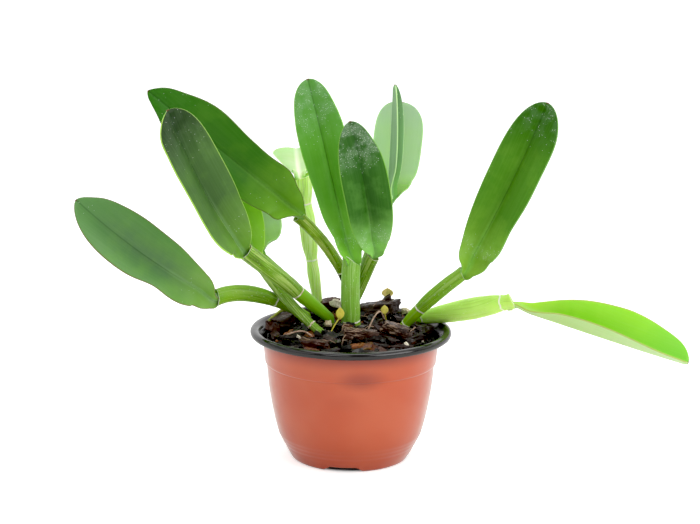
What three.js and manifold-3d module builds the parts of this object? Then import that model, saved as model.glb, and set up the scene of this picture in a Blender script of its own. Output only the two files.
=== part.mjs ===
// A potted orchid, Rhyncholaelia digbyana, in millimetres with +Z up. +X is the plant's right side and
// -Y is its front; the origin is the middle of the pot's foot, on the surface that the pot stands on.
import * as THREE from 'three';
import { mergeVertices } from 'three/addons/utils/BufferGeometryUtils.js';
import Module from 'manifold-3d';

const wasm = await Module();
wasm.setup();

// Driving dimensions of the pot, a thin plastic nursery pot
const rimDiameter = 130;
const potHeight = 85;
const footDiameter = 75;
const potWall = 1.2;
const lipDepth = 4.6;
const potSides = 36;
const notch = { count: 4, turn: -6, wide: 26, narrow: 17, height: 3.4, depth: 9, hole: 3 };

// Driving dimensions of the filling, the plant and the spaces between neighbours
const clearance = 0.3;
const fillLevel = 78;
const rootLevel = 66;
const bladeMiddle = 2.2;
const bladeEdge = 1;
const stemSides = 10;
const seed = 41;

const colours = {
  pot: 0xbe6444,
  bark: 0x33221a,
  stem: 0x8fae45,
  limeStem: 0xa9dc52,
  oldLeaf: 0x4f7f4b,
  leaf: 0x3f7a22,
  youngLeaf: 0x86c93a,
  paleLeaf: 0x9cc98a,
  seedling: 0xc9c04a,
  root: 0x9aa03a,
  dryRoot: 0xc9b29a,
};

// Every shoot is a swollen stem, the pseudobulb, with its leaf or leaves. foot is where the stem leaves the
// bark, top is its upper end, bow is how far its middle stands off the straight line, radii are those of the
// foot, the widest place and the top, and rings are the places of its joints from 0 at the foot to 1.
// A leaf runs from base to tip; face is the way its upper side looks, bow and sway are how far its middle
// stands off the straight line towards that side and sideways, fold is the angle of its two halves at the
// base, the middle and the tip, and shape holds the place of its greatest width and its roundness there.
// margins are the lobes and waists of one side: the side, the place along the leaf, the spread and the change.
const shoots = [
  {
    name: 'left_low', foot: [-29, 24, 86], top: [-84, -14, 108], bow: [-3, -2, 8], radii: [3, 5.3, 5.3],
    rings: [0.33], colour: 'stem',
    leaves: [{
      base: [-85, -15, 106], tip: [-170, -34, 173], face: [0.15, -0.9, 0.45], width: 37, bow: -3, sway: -3,
      fold: [66, 32, 18], shape: [0.5, 2.6, 1.7, 3, 1.6], colour: 'oldLeaf',
      margins: [[-1, 0.37, 0.11, -3.4], [-1, 0.14, 0.09, 2.8], [1, 0.2, 0.12, -1.6], [1, 0.6, 0.15, 0.9],
        [1, 0.95, 0.05, -0.9]],
    }],
  },
  {
    name: 'left_front', foot: [-14, 12, 88], top: [-65, -38, 142], bow: [0, 0, 0.6], radii: [3.5, 5.4, 5.3],
    rings: [0.4], colour: 'stem',
    leaves: [{
      base: [-66, -39, 141], tip: [-109, -66, 233], face: [0.8, -0.6, 0.25], width: 42, bow: -3, sway: -2,
      fold: [66, 34, 22], shape: [0.56, 2.4, 1.7, 3.3, 1.7], colour: 'oldLeaf',
      margins: [[-1, 0.92, 0.09, 4.2], [-1, 0.14, 0.12, 11.5], [-1, 0.34, 0.12, 2.8]],
    }],
  },
  {
    name: 'left_inner', foot: [-19, -4, 82], top: [-60, 12, 125], bow: [-1.5, 0, -2], radii: [2.8, 3.7, 3.8],
    rings: [0.14], colour: 'stem',
    leaves: [{
      base: [-60, 12, 126], tip: [-96, 36, 211], face: [0.2, -0.9, 0.2], width: 33, bow: -4, sway: -2,
      fold: [64, 32, 20], shape: [0.4, 2, 1.8, 2.2, 2], colour: 'leaf',
    }],
  },
  {
    name: 'left_back', foot: [-18, 32, 86], top: [-60, 42, 122], bow: [0, 0, 0], radii: [3, 3.6, 3.4],
    rings: [0.4], colour: 'stem',
    leaves: [{
      base: [-60, 42, 124], tip: [-74, 100, 192], face: [0, -0.9, 0.2], width: 33, bow: -4, sway: 2,
      fold: [64, 32, 20], shape: [0.38, 2.2, 2, 2.2, 2], colour: 'paleLeaf',
      margins: [[1, 0.06, 0.07, 8], [1, 0.5, 0.2, -2.2]],
    }],
  },
  {
    name: 'left_high', foot: [3, 36, 89], top: [-33, 6, 155], bow: [4.6, 0, 3], radii: [3.2, 3.8, 3.9],
    rings: [0.38], colour: 'stem',
    leaves: [{
      base: [-32, 5, 157], tip: [-130, 8, 236], face: [0, -0.9, 0.15], width: 36, bow: -4, sway: 0,
      fold: [66, 36, 24], shape: [0.48, 3, 1.8, 2.8, 1.4], colour: 'leaf',
      margins: [[1, 0.68, 0.18, 3.4], [1, 0.17, 0.09, 4.4], [1, 0.93, 0.06, 1.2], [-1, 0.9, 0.08, -2.2],
        [-1, 0.05, 0.06, 9]],
    }],
  },
  {
    name: 'back_lime', foot: [-22, 46, 88], top: [-33, 50, 173], bow: [-0.6, 0, 0], radii: [3.1, 5.6, 6],
    rings: [0.365, 0.81], pinch: 0.24, colour: 'limeStem',
    leaves: [{
      base: [-35, 51, 174], tip: [-41, 150, 180], face: [0, -0.2, 1], width: 35, bow: -2, sway: 0,
      fold: [62, 30, 20], shape: [0.74, 1.15, 1, 2.4, 1.7], colour: 'youngLeaf',
    }],
  },
  {
    name: 'middle', foot: [1, 5, 83], top: [0, 2, 126], bow: [-1, 0, 0], radii: [5.8, 6.2, 6],
    rings: [0.12], colour: 'stem',
    leaves: [{
      base: [0, 1, 126], tip: [-29, 12, 244], face: [0, -0.9, 0.2], width: 32, bow: -5, sway: 0.5,
      fold: [66, 36, 24], shape: [0.66, 1.7, 1.3, 3, 2], colour: 'leaf',
      margins: [[1, 0.88, 0.12, -1.6], [-1, 0.25, 0.12, 1.6], [-1, 0.04, 0.05, 4], [-1, 0.85, 0.1, -0.7]],
    }],
  },
  {
    name: 'middle_front', foot: [-2.5, 22, 88], top: [13, 6, 130], bow: [0, 2, 0], radii: [3.8, 4.6, 4.6],
    rings: [0.2], colour: 'stem',
    leaves: [{
      base: [14, 5, 132], tip: [-2, -18, 221], face: [0.1, -0.9, 0.2], width: 32, bow: 2, sway: 2,
      fold: [64, 34, 22], shape: [0.46, 2.6, 1.8, 2.6, 1.9], colour: 'leaf',
      margins: [[1, 0.88, 0.1, -0.9]],
    }],
  },
  {
    name: 'back_twin', foot: [0, 50, 89], top: [24, 44, 158.5], bow: [0, 0, 0], radii: [3.4, 3.8, 3],
    rings: [0.35], colour: 'stem',
    leaves: [
      {
        base: [25.5, 46, 160.5], tip: [34, 100, 220], face: [0.1, -0.9, 0.3], width: 34.5, bow: -3, sway: 0,
        fold: [60, 30, 16], shape: [0.52, 2.4, 1.7, 4, 2], colour: 'paleLeaf',
        margins: [[1, 0.08, 0.07, 4.2]],
      },
      {
        base: [25, 43, 161], tip: [28, 50, 237], face: [0.9, -0.5, 0.2], width: 14, bow: 1, sway: -1.5,
        fold: [70, 65, 55], curl: 0.2, shape: [0.45, 2, 1.5, 3, 1.4], colour: 'oldLeaf',
      },
    ],
  },
  {
    name: 'right_high', foot: [35, 14, 83], top: [70, -2, 121], bow: [-1.9, 0, 0.3], radii: [3.2, 4.7, 4.4],
    rings: [0.04, 0.33], colour: 'stem',
    leaves: [{
      base: [71, -2, 121], tip: [123, 8, 231], face: [-0.35, -0.9, 0.3], width: 35, bow: -4, sway: 1,
      fold: [64, 34, 22], shape: [0.58, 2.2, 1.6, 3, 1.9], colour: 'leaf',
      margins: [[1, 0.14, 0.12, 8.5], [1, 0.45, 0.2, 1.8], [1, 0.85, 0.15, 1.6], [-1, 0.06, 0.06, 1.8]],
    }],
  },
  {
    name: 'right_low', foot: [40, 26, 84], top: [100, -12, 106], bow: [0, 0, 0], radii: [3.8, 7.1, 5],
    rings: [0.14, 0.95], colour: 'limeStem',
    leaves: [{
      base: [101, -13, 105], tip: [209, -50, 78], face: [0.24, -0.42, 0.87], width: 41, bow: -1, sway: 0,
      fold: [66, 62, 40], curl: 0.1, shape: [0.64, 1.45, 1.05, 3, 1.8], colour: 'youngLeaf',
      margins: [[-1, 0.36, 0.2, 2.6], [-1, 0.86, 0.14, -2.8]],
    }],
  },
];

// Loose roots that lie on the bark, as points along each one and its radius
const roots = [
  { name: 'root_green', points: [[-55, 14, 84], [-51, 18, 87], [-46, 27, 89], [-42, 36, 86]], radius: 1, colour: 'root' },
  { name: 'root_dry_left', points: [[-45, -14, 80], [-40, -13, 83.5], [-31, -11, 85], [-24, -10, 81]], radius: 0.6, colour: 'dryRoot' },
  { name: 'root_dry_right', points: [[11, -3, 84], [15, 4, 91], [19, 11, 93], [22, 15, 87]], radius: 0.5, colour: 'dryRoot' },
];

// Small weed seedlings, each a thin stalk with one oval leaf
const seedlings = [
  { name: 'seedling_front', foot: [-15, -13, 80], leaf: [-7, -8, 94], size: [7.5, 5.6], colour: 'seedling' },
  { name: 'seedling_back', foot: [22, 47, 88], leaf: [24.5, 50, 94.5], size: [6.5, 8], colour: 'seedling' },
  { name: 'seedling_right', foot: [24, 22, 79], leaf: [22, 17, 91], size: [6, 5], colour: 'seedling' },
];

// The big pieces of bark that stand out: middle, length, width and thickness, turn and tilt in degrees
const bigChips = [
  { at: [5, -15, 83], size: [25, 9, 9], turn: -6, tilt: 4 },
  { at: [30, -8, 83], size: [23, 9, 7], turn: -28, tilt: 8 },
  { at: [-42, 20, 84], size: [27, 14, 7], turn: 38, tilt: -6 },
  { at: [-22, -32, 81], size: [20, 9, 5], turn: -8, tilt: 3 },
  { at: [19, 40, 88.5], size: [30, 16, 10], turn: -14, tilt: -8 },
  { at: [24, 47, 90], size: [10, 8, 11], turn: 25, tilt: -30 },
  { at: [-17, 46, 89], size: [22, 12, 9], turn: 14, tilt: -14 },
  { at: [-51, 2, 82], size: [20, 9, 8], turn: 70, tilt: 22 },
  { at: [47, 8, 80], size: [19, 11, 6], turn: 50, tilt: 10 },
  { at: [2, -36, 79], size: [14, 8, 5], turn: 10, tilt: -6 },
];
const smallChips = { count: 36, spread: 52, length: [9, 19], width: [5, 9], thickness: [3, 5] };

// Repeatable random numbers between 0 and 1
function randomFrom(start) {
  let state = start;
  return () => {
    state = (state * 1664525 + 1013904223) % 4294967296;
    return state / 4294967296;
  };
}

const radians = THREE.MathUtils.degToRad;
const lerp = THREE.MathUtils.lerp;
const vector = (point) => new THREE.Vector3(...point);

// A closed skin over rings of points. Past the index `turn` of a ring the squares are split the other way,
// so that both faces of a blade are split alike.
function loft(rings, turn = Infinity) {
  const sides = rings[0].length;
  const points = rings.flat();
  const index = [];
  for (let i = 0; i < rings.length - 1; i += 1) {
    for (let j = 0; j < sides; j += 1) {
      const a = i * sides + j;
      const b = i * sides + ((j + 1) % sides);
      const c = a + sides;
      const d = b + sides;
      if (j < turn) index.push(a, b, d, a, d, c);
      else index.push(a, b, c, b, d, c);
    }
  }
  const ends = [[0, 1], [rings.length - 1, -1]];
  for (const [ring, way] of ends) {
    const middle = points.length;
    const centre = new THREE.Vector3();
    for (const point of rings[ring]) centre.addScaledVector(point, 1 / sides);
    points.push(centre);
    for (let j = 0; j < sides; j += 1) {
      const a = ring * sides + j;
      const b = ring * sides + ((j + 1) % sides);
      if (way > 0) index.push(middle, b, a);
      else index.push(middle, a, b);
    }
  }
  const geometry = new THREE.BufferGeometry();
  geometry.setAttribute('position', new THREE.Float32BufferAttribute(points.flatMap((p) => p.toArray()), 3));
  geometry.setIndex(index);
  return geometry;
}

// A closed geometry as a solid that can be cut and joined, with its faces turned outwards
function solidFrom(geometry) {
  geometry.deleteAttribute('normal');
  geometry.deleteAttribute('uv');
  const merged = mergeVertices(geometry, 1e-4);
  const vertProperties = new Float32Array(merged.attributes.position.array);
  const triVerts = new Uint32Array(merged.index.array);
  let volume = 0;
  const corners = [new THREE.Vector3(), new THREE.Vector3(), new THREE.Vector3()];
  for (let i = 0; i < triVerts.length; i += 3) {
    corners.forEach((corner, k) => corner.fromArray(vertProperties, triVerts[i + k] * 3));
    volume += corners[0].dot(corners[1].cross(corners[2]));
  }
  if (volume < 0) triVerts.reverse();
  return new wasm.Manifold(new wasm.Mesh({ numProp: 3, vertProperties, triVerts }));
}

// The largest single body of a solid
function largestBody(solid) {
  return solid.decompose().sort((a, b) => b.volume() - a.volume())[0];
}

function meshFrom(solid, name, colour, roughness) {
  const { vertProperties, triVerts } = solid.getMesh();
  const geometry = new THREE.BufferGeometry();
  geometry.setAttribute('position', new THREE.BufferAttribute(vertProperties, 3));
  geometry.setIndex(new THREE.BufferAttribute(triVerts, 1));
  geometry.computeVertexNormals();
  const mesh = new THREE.Mesh(geometry, new THREE.MeshStandardMaterial({ color: colour, roughness, metalness: 0 }));
  mesh.name = name;
  return mesh;
}

// A solid of revolution about the pot's axis from points of radius and height
function turned(profile, sides = potSides) {
  const points = profile.map(([radius, height]) => new THREE.Vector2(radius, height));
  return solidFrom(new THREE.LatheGeometry(points, sides).rotateX(Math.PI / 2));
}

// The outside of the pot from the foot to the underside of the lip, as radius and height
function potOutside() {
  const foot = footDiameter / 2;
  const lip = rimDiameter / 2;
  const underLip = potHeight - lipDepth;
  return [
    [foot, 0], [foot + 2.6, 2], [foot + 5.6, 8], [foot + 9, 17], [foot + 12, 29], [foot + 15, 46],
    [foot + 16.6, 62.4], [lip - 9.6, 63.4], [lip - 9.2, 65], [lip - 8, underLip],
  ];
}

// The inside of the pot, moved inwards by `extra`
function potInside(extra = 0) {
  const wall = potWall + extra;
  const outside = potOutside();
  const walls = outside.slice(1).filter(([, height]) => height > 3 && height !== 63.4);
  return [[footDiameter / 2 - wall, wall], ...walls.map(([radius, height]) => [radius - wall, height])];
}

// One drainage recess in the foot: a trapezium seen from outside, grown by `extra`
function footNotch(index, extra = 0, lift = 0) {
  const half = [notch.wide / 2 + extra, notch.narrow / 2 + extra];
  const shape = new THREE.Shape([
    new THREE.Vector2(-half[0], -2), new THREE.Vector2(half[0], -2), new THREE.Vector2(half[0], 0),
    new THREE.Vector2(half[1], notch.height + extra), new THREE.Vector2(-half[1], notch.height + extra),
    new THREE.Vector2(-half[0], 0),
  ]);
  const length = notch.depth + 8 + extra;
  const geometry = new THREE.ExtrudeGeometry(shape, { depth: length, bevelEnabled: false });
  geometry.rotateX(Math.PI / 2);
  geometry.translate(0, -(footDiameter / 2 - notch.depth - extra), lift);
  geometry.rotateZ(radians(notch.turn + (360 / notch.count) * index));
  return solidFrom(geometry);
}

function makePot() {
  const lip = rimDiameter / 2;
  const underLip = potHeight - lipDepth;
  const outside = [...potOutside(), [lip - 1.2, underLip], [lip - 0.2, underLip + 0.8], [lip, underLip + 2.4],
    [lip - 0.7, potHeight - 0.7], [lip - 2.4, potHeight], [lip - 4.9, potHeight - 0.5]];
  let pot = turned([[0, 0], ...outside, ...potInside().reverse(), [0, potWall], [0, 0]]);
  const body = turned([[0, 0], ...potOutside(), [0, underLip], [0, 0]]);
  for (let i = 0; i < notch.count; i += 1) pot = pot.add(footNotch(i, potWall).intersect(body));
  for (let i = 0; i < notch.count; i += 1) {
    pot = pot.subtract(footNotch(i));
    const hole = new THREE.CylinderGeometry(notch.hole, notch.hole, 12, 12).rotateX(Math.PI / 2);
    hole.translate(0, -(footDiameter / 2 - notch.depth / 2), notch.height);
    pot = pot.subtract(solidFrom(hole.rotateZ(radians(notch.turn + (360 / notch.count) * i))));
  }
  return largestBody(pot);
}

// Radius of a stem at t, between its foot and its top, with a collar at each joint
function stemRadius(shoot, t) {
  const [foot, widest, top] = shoot.radii;
  const swell = 0.65;
  const up = Math.sin((Math.PI / 2) * Math.min(t / swell, 1)) ** 1.3;
  const down = Math.max(t - swell, 0) / (1 - swell);
  let radius = lerp(foot, widest, up) + (top - widest) * down ** 1.5;
  for (const ring of shoot.rings) {
    radius *= 1 - (shoot.pinch ?? 0.06) * Math.exp(-(((t - ring) / 0.07) ** 2));
    if (Math.abs(t - ring) < 0.004) radius *= 1.1;
  }
  return radius;
}

// The stem's middle line, a curve of one bow, and the direction along it
function stemLine(shoot) {
  const foot = vector(shoot.foot);
  const top = vector(shoot.top);
  const middle = foot.clone().lerp(top, 0.5).addScaledVector(vector(shoot.bow), 2);
  return new THREE.QuadraticBezierCurve3(foot, middle, top);
}

function ringAround(centre, along, radius, sides = stemSides, flatness = 0.92) {
  const across = new THREE.Vector3(0, -1, 0.2);
  across.addScaledVector(along, -across.dot(along)).normalize();
  const side = along.clone().cross(across);
  const ring = [];
  for (let k = 0; k < sides; k += 1) {
    const turn = (2 * Math.PI * k) / sides;
    const point = centre.clone().addScaledVector(side, radius * Math.cos(turn));
    ring.push(point.addScaledVector(across, flatness * radius * Math.sin(turn)));
  }
  return ring;
}

// The foot of a stem, which stands upright in a plain hole in the bark
function buriedEnd(shoot) {
  const along = stemLine(shoot).getTangent(0);
  const [x, y] = shoot.foot;
  return new THREE.Vector3(x - 5 * along.x, y - 5 * along.y, rootLevel);
}

// A stem, or with `extra` the room that it needs in its neighbours
function makeStem(shoot, extra = 0) {
  const line = stemLine(shoot);
  const stations = [0, 0.1, 0.2, 0.32, 0.45, 0.58, 0.7, 0.82, 0.92, 1];
  for (const ring of shoot.rings) stations.push(ring - 0.015, ring, ring + 0.02);
  const sorted = stations.filter((t, i) => i >= 10 || shoot.rings.every((ring) => Math.abs(ring - t) > 0.03));
  sorted.sort((a, b) => a - b);
  const end = buriedEnd(shoot).add(new THREE.Vector3(0, 0, -extra));
  const down = new THREE.Vector3(0, 0, 1);
  const rings = [ringAround(end, down, 0.9 * shoot.radii[0] + extra)];
  for (const t of sorted) rings.push(ringAround(line.getPoint(t), line.getTangent(t), stemRadius(shoot, t) + extra));
  const along = line.getTangent(1);
  const crown = [[1.4, 0.82], [2.2, 0.45]];
  for (const [reach, share] of crown) {
    const centre = line.getPoint(1).addScaledVector(along, reach + extra);
    rings.push(ringAround(centre, along, share * shoot.radii[2] + extra));
  }
  return solidFrom(loft(rings));
}

// Half the width of a leaf at s along it, as a share of its greatest half width
function leafWidth(s, [widest, baseFull, baseRound, tipFull, tipRound]) {
  if (s < widest) return (1 - ((widest - s) / widest) ** baseFull) ** (1 / baseRound);
  return (1 - ((s - widest) / (1 - widest)) ** tipFull) ** (1 / tipRound);
}

// How far the margin of one side stands out at s, beyond the even shape
function lobes(leaf, side, s) {
  let change = 0;
  for (const [which, place, spread, height] of leaf.margins ?? []) {
    if (which * side > 0) change += height * Math.exp(-(((s - place) / spread) ** 2));
  }
  return change;
}

// The angle between each half of the folded leaf and flat, at s along it
function leafFold(s, [base, middle, tip]) {
  const start = 0.3;
  if (s < start) return radians(middle + (base - middle) * ((start - s) / start) ** 1.6);
  return radians(lerp(middle, tip, (s - start) / (1 - start)));
}

// A leaf: a thick blade, folded along its middle. Its upper side follows the given line, and its lower side
// lies the blade's thickness behind it.
function makeLeaf(leaf) {
  const base = vector(leaf.base);
  const chord = vector(leaf.tip).sub(base);
  const along = chord.clone().normalize();
  const up = vector(leaf.face);
  up.addScaledVector(along, -up.dot(along)).normalize();
  const across = along.clone().cross(up);
  const lean = up.clone().multiplyScalar(leaf.bow).addScaledVector(across, leaf.sway);
  const curl = leaf.curl ?? 0.9;
  const stations = [0, 0.05, 0.12, 0.21, 0.33, 0.46, 0.6, 0.73, 0.84, 0.93, 0.98, 1];
  const columns = [-1, -0.66, -0.3, 0, 0.3, 0.66, 1];
  const rings = stations.map((s) => {
    const centre = base.clone().addScaledVector(chord, s).addScaledVector(lean, 4 * s * (1 - s));
    const heading = chord.clone().addScaledVector(lean, 4 * (1 - 2 * s)).normalize();
    const normal = up.clone().addScaledVector(heading, -up.dot(heading)).normalize();
    const side = heading.clone().cross(normal);
    const even = (leaf.width / 2) * leafWidth(s, leaf.shape);
    const fold = leafFold(s, leaf.fold);
    const upper = [];
    const lower = [];
    for (const column of columns) {
      const reach = Math.abs(column);
      const slope = fold * (1 - curl * reach);
      const out = (Math.sin(fold) - Math.sin(slope)) / (fold * curl);
      const rise = (Math.cos(slope) - Math.cos(fold)) / (fold * curl);
      const half = Math.max(even + lobes(leaf, column, s) * Math.min(1, even / 6), s < 0.5 ? 2.4 : 1.1);
      const point = centre.clone().addScaledVector(side, Math.sign(column) * half * out);
      point.addScaledVector(normal, half * rise);
      upper.push(point);
      const tilt = Math.sign(column) * (column === 0 ? 0 : slope);
      const facing = normal.clone().multiplyScalar(Math.cos(tilt)).addScaledVector(side, -Math.sin(tilt));
      lower.unshift(point.clone().addScaledVector(facing, -lerp(bladeMiddle, bladeEdge, reach)));
    }
    return [...upper, ...lower];
  });
  return solidFrom(loft(rings, columns.length));
}

// A thin tube along points, closed at both ends
function makeTube(points, radius, sides, steps) {
  const curve = new THREE.CatmullRomCurve3(points.map(vector));
  const rings = [];
  for (let i = 0; i <= steps; i += 1) {
    const t = i / steps;
    rings.push(ringAround(curve.getPoint(t), curve.getTangent(t), radius, sides, 1));
  }
  return solidFrom(loft(rings));
}

const makeRoot = (root, extra = 0) => makeTube(root.points, root.radius + extra, 6, 6);

// A seedling: an upright stalk and a small flat oval leaf on it
function makeSeedling(seedling, extra = 0) {
  const foot = vector(seedling.foot);
  const leaf = vector(seedling.leaf);
  const middle = foot.clone().lerp(leaf, 0.5).add(new THREE.Vector3(0, 0, 1));
  const stalk = makeTube([foot, middle, leaf].map((p) => p.toArray()), 0.5 + extra, 6, 5);
  const [length, width] = seedling.size;
  const blade = new THREE.SphereGeometry(0.5, 10, 6);
  blade.scale(width + 2 * extra, 1.4 + 2 * extra, length + 2 * extra);
  blade.rotateX(radians(-20));
  blade.translate(...leaf.add(new THREE.Vector3(0, 0, length * 0.3)).toArray());
  return stalk.add(solidFrom(blade));
}

// Height of the bark's surface: level at the wall, a mound in the middle and a higher one at the back
function barkHeight(x, y) {
  const radius = Math.hypot(x, y);
  const mound = 5 * Math.exp(-((radius / 34) ** 2));
  const back = 8 * Math.exp(-(((x - 4) / 32) ** 2) - (((y - 44) / 15) ** 2));
  const rough = 1.1 * Math.sin(x / 5 + 1) * Math.cos(y / 6) + 0.8 * Math.sin((x + 1.4 * y) / 4);
  return fillLevel + mound + back + rough;
}

// A chip of bark: a rough slab with eight uneven corners
function makeChip({ at, size, turn, tilt }, random) {
  const geometry = new THREE.BoxGeometry(...size);
  const merged = mergeVertices(new THREE.BufferGeometry().copy(geometry).deleteAttribute('normal').deleteAttribute('uv'));
  const corners = merged.attributes.position;
  for (let i = 0; i < corners.count; i += 1) {
    const shrink = [0.55 + 0.45 * random(), 0.6 + 0.4 * random(), 0.6 + 0.4 * random()];
    corners.setXYZ(i, corners.getX(i) * shrink[0], corners.getY(i) * shrink[1], corners.getZ(i) * shrink[2]);
  }
  merged.rotateY(radians(tilt)).rotateZ(radians(turn)).translate(...at);
  return solidFrom(merged);
}

// The filling up to its surface, a solid with the pot's own number of sides
function makeFilling() {
  const circle = (radius, height) => Array.from({ length: potSides }, (_, k) => {
    const turn = (2 * Math.PI * k) / potSides;
    const x = radius * Math.cos(turn);
    const y = radius * Math.sin(turn);
    return new THREE.Vector3(x, y, height ?? barkHeight(x, y));
  });
  const walls = potInside(clearance).filter(([, height]) => height < fillLevel - 8);
  const rings = walls.map(([radius, height]) => circle(radius, height));
  const edge = rimDiameter / 2 - 8 - potWall - clearance;
  for (const share of [0.985, 0.86, 0.72, 0.56, 0.4, 0.24, 0.08]) rings.push(circle(edge * share));
  return solidFrom(loft(rings));
}

// Room for the chips: inside the pot's wall, and clear of it
function chipRoom() {
  const edge = rimDiameter / 2 - 8.6 - potWall - clearance;
  return turned([[0, fillLevel - 14], [edge - 2, fillLevel - 14], [edge, potHeight], [edge, potHeight + 25],
    [0, potHeight + 25], [0, fillLevel - 14]], 28);
}

function makeBark() {
  const random = randomFrom(seed);
  const chips = [...bigChips];
  const { count, spread, length, width, thickness } = smallChips;
  for (let i = 0; i < count; i += 1) {
    const radius = spread * Math.sqrt((i + 0.5) / count);
    const turn = i * 2.39996 + 0.5 * random();
    const x = radius * Math.cos(turn);
    const y = radius * Math.sin(turn);
    const size = [lerp(...length, random()), lerp(...width, random()), lerp(...thickness, random())];
    chips.push({ at: [x, y, barkHeight(x, y) + 0.4], size, turn: 360 * random(), tilt: 40 * random() - 20 });
  }
  let heap = makeChip(chips[0], random);
  for (const chip of chips.slice(1)) heap = heap.add(makeChip(chip, random));
  let bark = makeFilling().add(heap.intersect(chipRoom()));
  for (let i = 0; i < notch.count; i += 1) bark = bark.subtract(footNotch(i, potWall + clearance));
  for (const shoot of shoots) bark = bark.subtract(makeStem(shoot, clearance));
  for (const root of roots) bark = bark.subtract(makeRoot(root, clearance));
  for (const seedling of seedlings) bark = bark.subtract(makeSeedling(seedling, clearance));
  return largestBody(bark);
}

const plant = new THREE.Group();
plant.add(meshFrom(makePot(), 'pot', colours.pot, 0.45));
plant.add(meshFrom(makeBark(), 'bark_mix', colours.bark, 0.9));
for (const shoot of shoots) {
  const stem = makeStem(shoot);
  const room = makeStem(shoot, clearance);
  plant.add(meshFrom(stem, `stem_${shoot.name}`, colours[shoot.colour], 0.5));
  const blades = shoot.leaves.map(makeLeaf);
  blades.forEach((blade, i) => {
    const cut = largestBody(blade.subtract(room));
    const label = shoot.leaves.length > 1 ? `${shoot.name}_${i + 1}` : shoot.name;
    plant.add(meshFrom(cut, `leaf_${label}`, colours[shoot.leaves[i].colour], 0.4));
  });
}
for (const root of roots) plant.add(meshFrom(makeRoot(root), root.name, colours[root.colour], 0.8));
for (const seedling of seedlings) {
  plant.add(meshFrom(makeSeedling(seedling), seedling.name, colours[seedling.colour], 0.6));
}

export default plant;
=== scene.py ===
# A potted orchid, Rhyncholaelia digbyana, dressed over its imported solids. Lengths are in millimetres and are
# turned to metres where a mesh is made. +Z is up and -Y is the plant's front.
import math

import bpy
import numpy as np
from mathutils import Matrix, Vector, noise


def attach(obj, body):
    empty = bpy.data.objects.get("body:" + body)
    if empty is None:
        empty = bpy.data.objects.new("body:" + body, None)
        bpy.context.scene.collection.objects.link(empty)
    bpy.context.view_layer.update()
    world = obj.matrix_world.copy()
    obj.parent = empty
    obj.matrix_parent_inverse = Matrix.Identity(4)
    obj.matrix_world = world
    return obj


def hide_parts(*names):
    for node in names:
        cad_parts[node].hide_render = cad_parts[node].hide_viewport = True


mm = 0.001
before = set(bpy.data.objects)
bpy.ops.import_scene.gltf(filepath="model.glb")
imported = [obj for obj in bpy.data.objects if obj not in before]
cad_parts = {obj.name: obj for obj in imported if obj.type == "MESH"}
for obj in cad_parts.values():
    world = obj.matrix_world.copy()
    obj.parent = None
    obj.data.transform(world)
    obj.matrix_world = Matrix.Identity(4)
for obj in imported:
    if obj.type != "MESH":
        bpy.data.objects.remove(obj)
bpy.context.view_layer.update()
scene = bpy.context.scene
print("frame loaded:", len(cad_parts), "solids")


def linear(hexColour):  # sRGB hex to the linear colour that shaders use
    parts = [int(hexColour[i : i + 2], 16) / 255 for i in (1, 3, 5)]
    return [c / 12.92 if c <= 0.04045 else ((c + 0.055) / 1.055) ** 2.4 for c in parts] + [1.0]


# a node, its own settings, and its inputs as values, nodes or sockets
def add(tree, kind, links=None, **settings):
    node = tree.nodes.new(kind)
    for key, value in settings.items():
        setattr(node, key, value)
    for key, value in (links or {}).items():
        if isinstance(value, bpy.types.Node):
            value = next(socket for socket in value.outputs if socket.enabled)
        if isinstance(value, bpy.types.NodeSocket):
            tree.links.new(value, node.inputs[key])
        else:
            node.inputs[key].default_value = value
    return node


smooth, times, plus, colours = (
    {"interpolation_type": "SMOOTHSTEP"}, {"operation": "MULTIPLY"}, {"operation": "ADD"},
     {"data_type": "RGBA"})


def newMaterial(name):
    material = bpy.data.materials.new(name)
    material.use_nodes = True
    tree = material.node_tree
    tree.nodes.clear()
    return material, tree


def meshPiece(name, points, faces, materials, attributes=None, faceMaterials=None):
    mesh = bpy.data.meshes.new(name)
    mesh.from_pydata([tuple(p) for p in np.asarray(points, float) * mm], [], [tuple(f) for f in faces])
    for material in materials:
        mesh.materials.append(material)
    if faceMaterials is not None:
        mesh.polygons.foreach_set("material_index", faceMaterials)
    mesh.polygons.foreach_set("use_smooth", [True] * len(mesh.polygons))
    for key, values in (attributes or {}).items():
        values = np.asarray(values, np.float32)
        if values.ndim == 1:
            mesh.attributes.new(key, "FLOAT", "POINT").data.foreach_set("value", values)
        else:
            mesh.attributes.new(key, "FLOAT_VECTOR", "POINT").data.foreach_set("vector", values.ravel())
    mesh.update()
    piece = bpy.data.objects.new(name, mesh)
    scene.collection.objects.link(piece)
    return piece


def skin(rings):  # a closed skin over rings of points, with its faces outwards
    rings = np.asarray(rings, float)
    count, sides = rings.shape[:2]
    points = np.vstack([rings.reshape(-1, 3), rings[0].mean(0), rings[-1].mean(0)])
    faces = []
    for i in range(count - 1):
        for j in range(sides):
            k = (j + 1) % sides
            faces.append((i * sides + j, i * sides + k, (i + 1) * sides + k, (i + 1) * sides + j))
    last = (count - 1) * sides
    for j in range(sides):
        k = (j + 1) % sides
        faces.append((count * sides, k, j))
        faces.append((count * sides + 1, last + j, last + k))
    volume = 0.0
    for face in faces:
        a = points[face[0]]
        for b, c in zip(face[1:-1], face[2:]):
            volume += np.dot(a, np.cross(points[b], points[c]))
    if volume < 0:
        faces = [face[::-1] for face in faces]
    return points, faces


def place(piece, nodes):  # the piece stands for these solids and rides on the only body
    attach(piece, "root")
    if nodes:
        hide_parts(*nodes)


def unit(v):
    v = np.asarray(v, float)
    return v / np.linalg.norm(v)


def softNoise(p, size, seed=0.0):
    return noise.noise(Vector((p[0] / size + seed, p[1] / size - seed, p[2] / size + 2 * seed)))



view = {"distance": 1060, "pitch": 12.2, "roll": 0.6, "aim": (-1, 0, 128.3), "lens": 85}


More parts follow.
